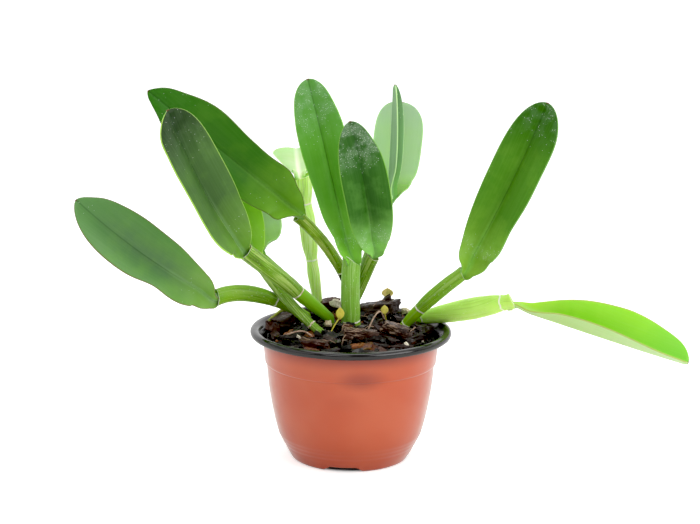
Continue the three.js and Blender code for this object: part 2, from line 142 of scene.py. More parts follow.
def makeCamera():
    pitch, roll = math.radians(view["pitch"]), math.radians(view["roll"])
    back = Vector((0, -math.cos(pitch), math.sin(pitch)))
    up = Vector((0, math.sin(pitch), math.cos(pitch)))
    right = Vector((1, 0, 0))
    turnedRight = math.cos(roll) * right + math.sin(roll) * up
    turnedUp = math.cos(roll) * up - math.sin(roll) * right
    camera = bpy.data.objects.new("camera", bpy.data.cameras.new("camera"))
    camera.data.lens = view["lens"]
    camera.data.sensor_width = 36
    camera.data.clip_start, camera.data.clip_end = 0.05, 30
    basis = Matrix((turnedRight, turnedUp, back)).transposed()
    camera.matrix_world = Matrix.Translation((Vector(view["aim"]) + view["distance"] * back)
        * mm) @ basis.to_4x4()
    scene.collection.objects.link(camera)
    scene.camera = camera


# Softboxes: place, aim and size in metres, power in watts
lights = {
    "keyBox": {"at": (1.15, -0.9, 0.95), "aim": (0, 0, 0.12), "size": (1.3, 1.2), "power": 16.2},
    "leftBox": {"at": (-1.25, -0.7, 0.8), "aim": (0, 0, 0.12), "size": (0.9, 1.2), "power": 3.2},
    "frontStrip": {"at": (-0.35, -1.25, 0.85), "aim": (0, 0, 0.1), "size": (0.7, 0.25), "power": 2.6},
    "topBox": {"at": (-0.1, 0.0, 1.3), "aim": (0, 0, 0.1), "size": (0.9, 0.9), "power": 5},
}
# how bright the white room is behind the plant, in front of it and to the eye, how much the floor glows
# outside the pot's foot, and the haze that is taken off the darks
studio = {"sky": "#FFFFFF", "behind": 1.15, "front": 0.24, "seen": 1.0, "floorGlow": 0.5, "glowFrom": 33,
          "floorColour": "#F6F6F5", "haze": 0.01}


def makeStudio():
    for name, box in lights.items():
        data = bpy.data.lights.new(name, "AREA")
        data.shape = "RECTANGLE"
        data.size, data.size_y = box["size"]
        data.energy = box["power"]
        lamp = bpy.data.objects.new(name, data)
        way = Vector(box["aim"]) - Vector(box["at"])
        lamp.matrix_world = Matrix.Translation(box["at"]) @ way.to_track_quat("-Z", "Y").to_matrix().to_4x4()
        scene.collection.objects.link(lamp)
    world = bpy.data.worlds.new("whiteStudio")
    scene.world = world
    world.use_nodes = True
    tree = world.node_tree
    tree.nodes.clear()
    direction = add(tree, "ShaderNodeTexCoord").outputs["Generated"]
    depth = add(tree, "ShaderNodeSeparateXYZ", {0: direction}).outputs["Y"]
    strength = add(tree, "ShaderNodeMapRange", {0: depth, 1: -0.35, 2: 0.35, 3: studio["front"],
        4: studio["behind"]}, **smooth)
    seen = add(tree, "ShaderNodeLightPath").outputs["Is Camera Ray"]
    links = {0: seen, 2: strength, 3: studio["seen"]}
    strength = add(tree, "ShaderNodeMix", links, data_type="FLOAT").outputs[0]
    background = add(tree, "ShaderNodeBackground", {"Color": linear(studio["sky"]), "Strength": strength})
    add(tree, "ShaderNodeOutputWorld", {"Surface": background.outputs[0]})
    floor = meshPiece("floor", [(-9000, -9000, 0), (9000, -9000, 0), (9000, 9000, 0), (-9000, 9000, 0)],
                      [(0, 1, 2, 3)], [floorMaterial()])
    floor.location.z = -0.0002
    scene.view_settings.view_transform = "Standard"
    scene.view_settings.use_curve_mapping = True
    scene.view_settings.curve_mapping.black_level = [studio["haze"]] * 3
    scene.view_settings.curve_mapping.update()


def floorMaterial():  # matt white paper, lit to pure white as in a product studio
    material, tree = newMaterial("whitePaperSweep")
    grain = add(tree, "ShaderNodeTexNoise", {"Scale": 1 / (0.5 * mm), "Detail": 2.0})
    bump = add(tree, "ShaderNodeBump", {"Height": grain, "Strength": 0.05, "Distance": 0.05 * mm})
    seen = add(tree, "ShaderNodeLightPath").outputs["Is Camera Ray"]
    object3 = add(tree, "ShaderNodeTexCoord").outputs["Object"]
    away = add(tree, "ShaderNodeVectorMath", {0: object3}, operation="LENGTH").outputs["Value"]
    links = {0: away, 1: studio["glowFrom"] * mm, 2: (studio["glowFrom"] + 5) * mm, 4: studio["floorGlow"]}
    glow = add(tree, "ShaderNodeMapRange", links, **smooth)
    glow = add(tree, "ShaderNodeMath", {0: seen, 1: glow}, **times)
    shader = add(tree, "ShaderNodeBsdfPrincipled", {
        "Base Color": linear(studio["floorColour"]), "Roughness": 0.9, "Normal": bump,
        "Emission Color": linear("#FFFFFF"), "Emission Strength": glow})
    add(tree, "ShaderNodeOutputMaterial", {"Surface": shader})
    return material


pot = {
    "rimDiameter": 130, "height": 85, "footDiameter": 75, "wall": 1.2, "lipDepth": 4.6, "sides": 180,
    "notchCount": 4, "notchTurn": -6, "notchWide": 26, "notchNarrow": 17, "notchHeight": 3.4, "notchDepth": 9,
    "holeRadius": 3, "outside": "#BE4A16", "thin": "#8E2800", "pale": "#CC6C44", "inside": "#0E0B0A",
}


def smoothLine(points, steps):  # a smooth line through all the radius and height pairs
    points = [np.array(p, float) for p in points]
    points = [2 * points[0] - points[1], *points, 2 * points[-1] - points[-2]]
    line = []
    for i in range(1, len(points) - 2):
        a, b, c, d = points[i - 1 : i + 3]
        for t in np.arange(steps) / steps:
            line.append(0.5 * (2 * b + (c - a) * t + (2 * a - 5 * b + 4 * c - d) * t * t
                               + (3 * b - a - 3 * c + d) * t ** 3))
    line.append(points[-2])
    return [tuple(p) for p in line]


def potWall():
    foot, lip = pot["footDiameter"] / 2, pot["rimDiameter"] / 2
    under = pot["height"] - pot["lipDepth"]
    wall = [(foot + 2.6, 2), (foot + 5.6, 8), (foot + 9, 17), (foot + 12, 29), (foot + 15, 46),
        (foot + 16.6, 62.4)]
    ridges = [(15.2, 0.36), (12.4, 0.36), (9.4, 0.34)]  # fine moulded steps near the foot: height and depth
    lower = []
    for radius, height in smoothLine(wall, 10):
        step = sum(depth / (1 + math.exp(-(height - level) * 6)) for level, depth in ridges)
        lower.append((radius + step - 0.75, height))
    ledge = [(lip - 10.6, 62.9), (lip - 9.75, 63.3), (lip - 9.5, 63.9), (lip - 9.35, 65)]
    upper = smoothLine([(lip - 9.3, 66), (lip - 8.9, 70), (lip - 8.4, 76), (lip - 8, under - 0.4)], 5)
    start = [(foot - 0.6, 0), (foot + 0.3, 0.15), (foot + 1.1, 0.6)]
    return start + lower + ledge + upper


def turnedMesh(profile, sides):  # profile runs from the axis round to the axis again
    rings = [p for p in profile if p[0] > 1e-6]
    turn = np.linspace(0, 2 * math.pi, sides, endpoint=False)
    grid = np.array([[(r * math.cos(a), r * math.sin(a), z) for a in turn] for r, z in rings])
    return skin(grid)


def trapezium(index, grow):  # the corners of one drainage recess, from inside the foot to beyond its edge
    foot = pot["footDiameter"] / 2
    wide, narrow = pot["notchWide"] / 2 + grow, pot["notchNarrow"] / 2 + grow
    top = pot["notchHeight"] + grow
    near, far = foot - pot["notchDepth"] - grow, foot + 8
    section = [(-wide, -2 if grow == 0 else 0.02), (wide, -2 if grow == 0 else 0.02), (wide, 0.03),
        (narrow, top), (-narrow, top), (-wide, 0.03)]
    turn = math.radians(pot["notchTurn"] + 360 / pot["notchCount"] * index)
    rings = []
    for depth in (near, far):
        ring = [(x * math.cos(turn) + depth * math.sin(turn), x * math.sin(turn) - depth * math.cos(turn), z)
                for x, z in section]
        rings.append(ring)
    return skin(rings)


def boolean(piece, tool, operation):  # cuts or joins for good, and the tool is used up
    modifier = piece.modifiers.new(operation, "BOOLEAN")
    modifier.operation = operation
    modifier.object = tool
    modifier.solver = "EXACT"
    graph = bpy.context.evaluated_depsgraph_get()
    mesh = bpy.data.meshes.new_from_object(piece.evaluated_get(graph))
    piece.modifiers.clear()
    piece.data = mesh
    bpy.data.objects.remove(tool)


def potMaterials():
    # Thin vacuum-formed polystyrene sheet: smooth and half glossy, terracotta outside. Light comes a little
    # through it, so the wall has softly lighter and darker areas, and dust shows as few dark specks.
    material, tree = newMaterial("terracottaPolystyrene")
    object3 = add(tree, "ShaderNodeTexCoord").outputs["Object"]
    at = add(tree, "ShaderNodeSeparateXYZ", {0: object3})
    broad = add(tree, "ShaderNodeTexNoise", {"Vector": object3, "Scale": 1 / (40 * mm), "Detail": 2.0})
    fine = add(tree, "ShaderNodeTexNoise", {"Vector": object3, "Scale": 1 / (6 * mm), "Detail": 4.0})
    cloud = add(tree, "ShaderNodeMapRange", {0: broad, 1: 0.35, 2: 0.7, 4: 0.3}, **smooth)
    # the stretched, thinner place at the front of the ledge, darker and redder
    fromPatch = add(tree, "ShaderNodeVectorMath", {0: object3, 1: (7 * mm, -52 * mm, 65 * mm)},
        operation="SUBTRACT")
    flattened = add(tree, "ShaderNodeVectorMath", {0: fromPatch, 1: (0.45, 0.3, 1)}, **times)
    far = add(tree, "ShaderNodeVectorMath", {0: flattened}, operation="LENGTH").outputs["Value"]
    patch = add(tree, "ShaderNodeMapRange", {0: far, 1: 1 * mm, 2: 9 * mm, 3: 0.75, 4: 0.0}, **smooth)
    fromPatch = add(tree, "ShaderNodeVectorMath", {0: object3, 1: (-3 * mm, -50 * mm, 50 * mm)},
        operation="SUBTRACT")
    flattened = add(tree, "ShaderNodeVectorMath", {0: fromPatch, 1: (0.5, 0.3, 1)}, **times)
    far = add(tree, "ShaderNodeVectorMath", {0: flattened}, operation="LENGTH").outputs["Value"]
    lowPatch = add(tree, "ShaderNodeMapRange", {0: far, 1: 1 * mm, 2: 8 * mm, 3: 0.12, 4: 0.0}, **smooth)
    # darker towards the foot, where the sheet is thinner, and darker under the lip, which is painted shade
    # from the lip
    low = add(tree, "ShaderNodeMapRange", {0: at.outputs["Z"], 1: 4 * mm, 2: 34 * mm, 3: 0.25, 4: 0.0},
        **smooth)
    high = add(tree, "ShaderNodeMapRange", {0: at.outputs["Z"], 1: 70 * mm, 2: 80 * mm, 4: 0.9}, **smooth)
    cells = add(tree, "ShaderNodeTexVoronoi", {"Vector": object3, "Scale": 1 / (11 * mm)})
    speck = add(tree, "ShaderNodeMapRange", {0: cells.outputs["Distance"], 1: 0.03, 2: 0.05, 3: 1, 4: 0},
        **smooth)
    chance = add(tree, "ShaderNodeSeparateColor", {0: cells.outputs["Color"]}).outputs[0]
    rare = add(tree, "ShaderNodeMath", {0: chance, 1: 0.86}, operation="GREATER_THAN")
    dirt = add(tree, "ShaderNodeMath", {0: speck, 1: rare}, **times)
    colour = linear(pot["outside"])
    for share, layer in ((cloud, pot["pale"]), (low, pot["thin"]), (high, pot["thin"]),
            (patch, pot["thin"]), (lowPatch, pot["thin"]), (dirt, "#3A1E12")):
        colour = add(tree, "ShaderNodeMix", {0: share, 6: colour, 7: linear(layer)}, **colours)
    rough = add(tree, "ShaderNodeMapRange", {0: fine, 1: 0.3, 2: 0.75, 3: 0.3, 4: 0.4}, **smooth)
    bump = add(tree, "ShaderNodeBump", {"Height": broad, "Strength": 0.25, "Distance": 0.6 * mm})
    shader = add(tree, "ShaderNodeBsdfPrincipled", {
        "Base Color": colour, "Roughness": rough, "IOR": 1.55, "Normal": bump, "Coat Weight": 0.6,
        "Coat Roughness": 0.2, "Coat IOR": 1.6, "Sheen Weight": 1.0, "Sheen Roughness": 0.3,
        "Specular IOR Level": 0.35,
        "Subsurface Weight": 0.12, "Subsurface Radius": (1.0, 0.35, 0.2), "Subsurface Scale": 2.0 * mm})
    add(tree, "ShaderNodeOutputMaterial", {"Surface": shader})
    # The inner layer of the same sheet, coloured black: glossy, with scuffs and a trace of dust on the lip.
    black, tree = newMaterial("blackPolystyreneLayer")
    object3 = add(tree, "ShaderNodeTexCoord").outputs["Object"]
    scuff = add(tree, "ShaderNodeTexNoise", {"Vector": object3, "Scale": 1 / (3 * mm), "Detail": 6.0})
    dusty = add(tree, "ShaderNodeMapRange", {0: scuff, 1: 0.52, 2: 0.72, 4: 0.2}, **smooth)
    colour = add(tree, "ShaderNodeMix", {0: dusty, 6: linear(pot["inside"]), 7: linear("#3A342F")}, **colours)
    rough = add(tree, "ShaderNodeMapRange", {0: scuff, 1: 0.35, 2: 0.7, 3: 0.1, 4: 0.22}, **smooth)
    bump = add(tree, "ShaderNodeBump", {"Height": scuff, "Strength": 0.2, "Distance": 0.12 * mm})
    shader = add(tree, "ShaderNodeBsdfPrincipled", {
        "Base Color": colour, "Roughness": rough, "IOR": 1.6, "Normal": bump})
    add(tree, "ShaderNodeOutputMaterial", {"Surface": shader})
    return [material, black]


def makePot():
    lip, top, wall = pot["rimDiameter"] / 2, pot["height"], pot["wall"]
    under = top - pot["lipDepth"]
    outside = potWall()
    edge = [(lip - 7.9, under), (lip - 1.9, under), (lip - 1.1, under + 0.15), (lip - 0.45, under + 0.7),
            (lip - 0.08, under + 1.7), (lip, under + 2.6), (lip - 0.25, under + 3.5), (lip - 0.9, top - 0.35),
            (lip - 1.8, top - 0.05), (lip - 2.8, top), (lip - 4.0, top - 0.1), (lip - 4.9, top - 0.5),
            (lip - 5.7, top - 1.6)]
    inner = [(r - wall, max(z, wall)) for r, z in outside[::-1] if z > 3]
    inner = [(lip - 7.6 - wall, under + 0.6), *inner, (pot["footDiameter"] / 2 - wall, wall), (0.4, wall)]
    profile = [(0.4, 0), (pot["footDiameter"] / 2 - 4, 0), *outside, *edge, *inner]
    points, faces = turnedMesh(profile, pot["sides"])
    # the edge and top of the lip and all of the inside are black
    blackFrom = 2 + len(outside) + 1
    blackFaces = []
    for face in faces:
        ring = min(i // pot["sides"] for i in face)
        blackFaces.append(1 if ring >= blackFrom else 0)
    body = meshPiece("pot_body", points, faces, potMaterials(), faceMaterials=blackFaces)
    solid = [(0.4, 0), (pot["footDiameter"] / 2 - 4, 0), *[(r - 0.4, z) for r, z in outside if z < 12],
        (0.4, 12)]
    for index in range(pot["notchCount"]):  # the roof over each recess ends inside the wall
        roof = meshPiece("roof", *trapezium(index, wall), [])
        boolean(roof, meshPiece("solid", *turnedMesh(solid, pot["sides"]), []), "INTERSECT")
        boolean(body, roof, "UNION")
    for index in range(pot["notchCount"]):
        boolean(body, meshPiece("recess", *trapezium(index, 0), []), "DIFFERENCE")
        turn = math.radians(pot["notchTurn"] + 360 / pot["notchCount"] * index)
        depth = pot["footDiameter"] / 2 - pot["notchDepth"] / 2
        centre = np.array((depth * math.sin(turn), -depth * math.cos(turn), 0))
        circle = [(pot["holeRadius"] * math.cos(a), pot["holeRadius"] * math.sin(a), 0)
                  for a in np.linspace(0, 2 * math.pi, 24, endpoint=False)]
        rings = [centre + np.array(circle) + (0, 0, level) for level in (-1.5, 9)]
        boolean(body, meshPiece("hole", *skin(rings), []), "DIFFERENCE")
    place(body, ["pot"])
    print("pot:", len(body.data.polygons), "faces")



shoots = [
    {"name": "left_low", "foot": (-29, 24, 86), "top": (-84, -14, 108), "bow": (-3, -2, 8),
     "radii": (3, 5.3, 5.3),
     "rings": [0.33], "skin": "green", "lower": 0.33, "seam": 70,
     "leaves": [{"base": (-85, -15, 106), "tip": (-170, -34, 173), "face": (0.15, -0.9, 0.45), "width": 37,
                 "bow": -3, "sway": -3, "fold": (32, 18), "shape": (0.5, 2.6, 1.7, 3, 1.6),
                 "margins": ((-1, 0.37, 0.11, -3.4), (-1, 0.14, 0.09, 2.8), (1, 0.2, 0.12, -1.6),
                             (1, 0.6, 0.15, 0.9), (1, 0.95, 0.05, -0.9)), "clasp": 1.3, "opening": -45,
                              "look": "greyA"}]},
    {"name": "left_front", "foot": (-14, 12, 88), "top": (-65, -38, 142), "bow": (0, 0, 0.6),
     "radii": (3.5, 5.4, 5.3), "rings": [0.4], "skin": "sage", "lower": 0.4, "seam": 40, "mouth": (100, 2),
     "leaves": [{"base": (-66, -39, 141), "tip": (-109, -66, 233), "face": (0.8, -0.6, 0.25), "width": 42.5,
                 "bow": -3, "sway": -2, "fold": (42, 22), "shape": (0.56, 2.4, 1.7, 3.3, 1.7),
                 "margins": ((-1, 0.92, 0.09, 4.2), (-1, 0.14, 0.12, 11.5), (-1, 0.34, 0.12, 2.8)),
                 "clasp": 1.3, "opening": -20, "look": "greyB"}]},
    {"name": "left_inner", "foot": (-19, -4, 82), "top": (-60, 12, 125), "bow": (-1.5, 0, -2),
     "radii": (2.8, 3.7, 3.8),
     "rings": [0.14], "skin": "sage", "lower": 0.0, "seam": 120,
     "leaves": [{"base": (-60, 12, 126), "tip": (-96, 36, 211), "face": (0.2, -0.9, 0.2), "width": 33,
                 "bow": -4, "sway": -2, "fold": (32, 20), "shape": (0.4, 2, 1.8, 2.2, 2), "look": "inner"}]},
    {"name": "left_back", "foot": (-18, 32, 86), "top": (-60, 42, 122), "bow": (0, 0, 0),
     "radii": (3, 3.6, 3.4),
     "rings": [0.4], "skin": "green", "lower": 0.4, "seam": 60,
     "leaves": [{"base": (-60, 42, 124), "tip": (-74, 100, 192), "face": (0, -0.9, 0.2), "width": 33,
                 "bow": -4, "sway": 2, "fold": (32, 20), "shape": (0.38, 2.2, 2, 2.2, 2),
                 "margins": ((1, 0.09, 0.11, 5.5), (1, 0.5, 0.2, -2.2)), "look": "pale"}]},
    {"name": "left_high", "foot": (3, 36, 89), "top": (-33, 6, 155), "bow": (4.6, 0, 3),
     "radii": (3.2, 3.8, 3.9),
     "rings": [0.38], "skin": "olive", "lower": 0.38, "seam": 150,
     "leaves": [{"base": (-32, 5, 157), "tip": (-130, 8, 236), "face": (0, -0.9, 0.15), "width": 36,
                 "bow": -4, "sway": 0, "fold": (36, 24), "shape": (0.48, 3, 1.8, 2.8, 1.4),
                 "margins": ((1, 0.68, 0.18, 3.4), (1, 0.17, 0.09, 4.4), (1, 0.93, 0.06, 1.2),
                     (-1, 0.9, 0.08, -2.2),
                             (-1, 0.05, 0.06, 9)), "opening": 50, "look": "deep"}]},
    {"name": "back_lime", "foot": (-22, 46, 88), "top": (-33, 50, 173), "bow": (-0.6, 0, 0),
     "radii": (3.1, 5.6, 6),
     "rings": [0.365, 0.81], "pinch": 0.24, "skin": "palest", "lower": 0.0, "seam": 90, "mouth": (-30, 4),
     "leaves": [{"base": (-35, 51, 174), "tip": (-41, 150, 180), "face": (0, -0.2, 1), "width": 35,
                 "bow": -2, "sway": 0, "fold": (30, 20), "shape": (0.74, 1.15, 1.0, 2.4, 1.7), "clasp": 1.0,
                 "look": "lime"}]},
    {"name": "middle", "foot": (1, 5, 83), "top": (0, 2, 126), "bow": (-1, 0, 0), "radii": (5.8, 6.2, 6),
     "rings": [0.12], "skin": "fresh", "lower": 0.12, "seam": -20, "mouth": (185, 8),
     "leaves": [{"base": (0, 1, 126), "tip": (-29, 12, 244), "face": (0, -0.9, 0.2), "width": 32.5,
                 "bow": -5, "sway": 0.5, "fold": (46, 26), "shape": (0.66, 1.7, 1.3, 3, 2.0),
                 "margins": ((1, 0.88, 0.12, -1.6), (-1, 0.25, 0.12, 1.6), (-1, 0.85, 0.1, -0.7),
                             (1, 0.07, 0.06, 9)), "clasp": 1.4, "opening": 30, "look": "bright"}]},
    {"name": "middle_front", "foot": (-2.5, 22, 88), "top": (13, 6, 130), "bow": (0, 2, 0),
     "radii": (3.8, 4.6, 4.6),
     "rings": [0.2], "skin": "sage", "lower": 0.2, "seam": 140,
     "leaves": [{"base": (14, 5, 132), "tip": (-2, -18, 221), "face": (0.1, -0.9, 0.2), "width": 32.5,
                 "bow": 2, "sway": 2, "fold": (46, 24), "shape": (0.46, 2.6, 1.8, 2.6, 1.9),
                 "margins": ((1, 0.88, 0.1, -0.9),), "opening": 25, "look": "dusty"}]},
    {"name": "back_twin", "foot": (0, 50, 89), "top": (24, 44, 158.5), "bow": (0, 0, 0),
     "radii": (3.4, 3.8, 3),
     "rings": [0.35], "skin": "green", "lower": 0.35, "seam": 60,
     "leaves": [{"base": (25.5, 46, 160.5), "tip": (34, 100, 220), "face": (0.1, -0.9, 0.3), "width": 34.5,
                 "bow": -3, "sway": 0, "fold": (30, 16), "shape": (0.52, 2.4, 1.7, 4, 2),
                 "margins": ((1, 0.08, 0.07, 4.2),), "look": "pale"},
                {"base": (25, 43, 161), "tip": (28, 50, 237), "face": (0.9, -0.5, 0.2), "width": 14,
                 "bow": 1, "sway": -1.5, "fold": (65, 55), "spread": 0.8, "shape": (0.45, 2, 1.5, 3, 1.4),
                 "look": "edgeOn"}]},
    {"name": "right_high", "foot": (35, 14, 83), "top": (70, -2, 121), "bow": (-1.9, 0, 0.3),
     "radii": (3.2, 4.7, 4.4),
     "rings": [0.04, 0.33], "skin": "green", "lower": 0.33, "seam": 100,
     "leaves": [{"base": (71, -2, 121), "tip": (123, 8, 231), "face": (-0.35, -0.9, 0.3), "width": 35.5,
                 "bow": -4, "sway": 1, "fold": (46, 24), "shape": (0.58, 2.2, 1.6, 3, 1.9),
                 "margins": ((1, 0.14, 0.12, 8.5), (1, 0.45, 0.2, 1.8), (1, 0.85, 0.15, 1.6),
                     (-1, 0.06, 0.06, 1.8)), "opening": 50, "look": "deepK"}]},
    {"name": "right_low", "foot": (40, 26, 84), "top": (100, -12, 106), "bow": (0, 0, 0),
     "radii": (3.8, 7.1, 5),
     "rings": [0.14, 0.95], "skin": "lime", "lower": 0.14, "seam": 60, "mouth": (60, 5),
     "leaves": [{"base": (101, -13, 105), "tip": (209, -50, 78), "face": (0.24, -0.42, 0.87), "width": 41,
                 "bow": -1, "sway": 0, "fold": (62, 40), "spread": 0.9, "shape": (0.64, 1.45, 1.05, 3, 1.8),
                 "margins": ((-1, 0.36, 0.2, 2.6), (-1, 0.86, 0.14, -2.8)), "clasp": 0.5, "look": "limeL"}]},
]

stemShape = {"sides": 32, "steps": 64, "flatness": 0.92, "rootLevel": 66, "collar": 0.4, "collarWidth": 0.6,
             "seamHeight": 0.3, "mouth": (160, 3), "mouthWall": 0.5}
# upper: under the dry sheath, lower: the bare part below a joint, line: the sheath's fine lines, torn: its
# edge
stemSkins = {
    "green": {"upper": "#74A626", "lower": "#88BA1E", "line": "#B5D36A", "torn": "#E9EBD2", "glow": 0.1,
              "lines": 0.35, "seam": 0.1, "slot": "stem"},
    "sage": {"upper": "#6F9C2A", "lower": "#7CB428", "line": "#B8D074", "torn": "#CDB79A", "glow": 0.1,
             "lines": 0.9, "seam": 0.1, "slot": "stem"},
    # olive: the dark colour of the bare part below its joint is painted shade on that shadowed node
    "olive": {"upper": "#88B22C", "lower": "#2F4216", "line": "#C4D078", "torn": "#DAD3B4", "glow": 0.1,
              "lines": 0.8, "seam": 0.1, "slot": "stem"},
    "fresh": {"upper": "#84BC42", "lower": "#7A9E2C", "line": "#CBE5A4", "torn": "#E6E8CB", "glow": 0.15,
              "lines": 0.35, "seam": 0.5, "slot": "stem"},
    # palest: its near-white skin and lines are partly painted glow of light through the young stem and a
    # painted highlight along it
    "palest": {"upper": "#D2F684", "lower": "#C8F476", "line": "#F8FEEC", "torn": "#F4F6E6", "glow": 0.4,
               "lines": 0.4, "seam": 0.2, "slot": "lime_stem"},
    "lime": {"upper": "#C8F870", "lower": "#A6E044", "line": "#DDF5AE", "torn": "#F0F3DC", "glow": 0.3,
             "lines": 0.2, "seam": 0.1, "slot": "lime_stem"},
}


def stemPoint(shoot, t):  # the middle line, one bow from foot to top
    foot, top = np.array(shoot["foot"], float), np.array(shoot["top"], float)
    middle = (foot + top) / 2 + 2 * np.array(shoot["bow"], float)
    return (1 - t) ** 2 * foot + 2 * t * (1 - t) * middle + t * t * top


def stemWay(shoot, t):
    return unit(stemPoint(shoot, t + 1e-4) - stemPoint(shoot, t - 1e-4))


def stemRadius(shoot, t):
    foot, widest, top = shoot["radii"]
    swell = 0.65
    up = math.sin(math.pi / 2 * min(t / swell, 1)) ** 1.3
    down = max(t - swell, 0) / (1 - swell)
    radius = foot + (widest - foot) * up + (top - widest) * down ** 1.5
    for ring in shoot["rings"]:
        radius *= 1 - shoot.get("pinch", 0.06) * math.exp(-(((t - ring) / 0.07) ** 2))
    return radius


def makeStem(shoot, material):
    length = np.linalg.norm(np.array(shoot["top"]) - np.array(shoot["foot"]))
    steps = np.linspace(0, 1, stemShape["steps"])
    near = [ring + offset / length for ring in shoot["rings"] for offset in np.linspace(-1.8, 1.8, 13)]
    stations = sorted({round(float(t), 5) for t in [*steps, *near] if 0 <= t <= 1})
    turn = np.linspace(0, 2 * math.pi, stemShape["sides"], endpoint=False)
    seamAt = math.radians(shoot["seam"])
    mouthTurn, mouthHeight = shoot.get("mouth", stemShape["mouth"])
    mouthAt = math.radians(mouthTurn)
    rings, place2, share = [], [], []
    way = stemWay(shoot, 0)
    foot = stemPoint(shoot, 0)
    buried = np.array((foot[0] - 5 * way[0], foot[1] - 5 * way[1], stemShape["rootLevel"]))

    def ring(centre, along, radius, t, rough=0.0, rise=0.0, pale=0.0):
        across = unit(np.array((0, -1, 0.2)) - np.dot((0, -1, 0.2), along) * along)
        side = np.cross(along, across)
        loop = []
        for a in turn:
            round3 = (math.cos(a) * 4, math.sin(a) * 4, length)
            ragged = 0.8 * softNoise(round3, 2.0, shoot["seam"])
            mark = max(math.exp(-((((t - r) * length - ragged) / stemShape["collarWidth"]) ** 2))
                for r in shoot["rings"])
            seam = math.exp(-((math.remainder(a - seamAt, 2 * math.pi) / 0.1) ** 2)) * rough
            r = radius + stemShape["collar"] * mark * (0.7 + softNoise(round3,
                2.6)) + stemShape["seamHeight"] * seam
            r += rough * 0.14 * softNoise((math.cos(a) * 9, math.sin(a) * 9, t * length), 4, shoot["foot"][0])
            slant = rise * (0.5 + 0.5 * math.cos(a - mouthAt)) * (1 + 0.25 * softNoise(round3, 3))
            loop.append(centre + side * r * math.cos(a) + across * stemShape["flatness"] * r * math.sin(a)
                        + along * slant)
            place2.append((a * radius, t * length, seam))
            lower = 1 / (1 + math.exp(max(min(((t - shoot["lower"]) * length - ragged) / 0.25, 50), -50)))
            share.append((max(mark, pale), t, lower if shoot["lower"] else 0))
        rings.append(loop)

    ring(buried, np.array((0, 0, 1.0)), 0.9 * shoot["radii"][0], 0)
    for t in stations:
        ring(stemPoint(shoot, t), stemWay(shoot, t), stemRadius(shoot, t), t, 1.0)
    along, end, wall = stemWay(shoot, 1), shoot["radii"][2], stemShape["mouthWall"]
    for share2, out, pale in ((0.35, 0.06, 0), (0.7, 0.14, 0), (0.94, 0.2, 0.3), (1, 0.05, 0.9),
            (0.97, -0.6 * wall, 0.5), (0.5, -wall, 0), (0, -wall, 0)):
        ring(stemPoint(shoot, 1) + along * 0.6 * share2, along, end + out, 1, 0.4, mouthHeight * share2, pale)
    for reach, part in ((-0.4, 0.85), (-0.5, 0.5), (-0.5, 0.2)):
        ring(stemPoint(shoot, 1) + along * reach, along, part * end, 1)
    points, faces = skin(rings)
    place2 += [place2[0], place2[-1]]
    share += [share[0], share[-1]]
    stem = meshPiece("pseudobulb_" + shoot["name"], points, faces, [material],
                     {"skinPlace": np.array(place2), "skinShare": np.array(share)})
    place(stem, ["stem_" + shoot["name"]])


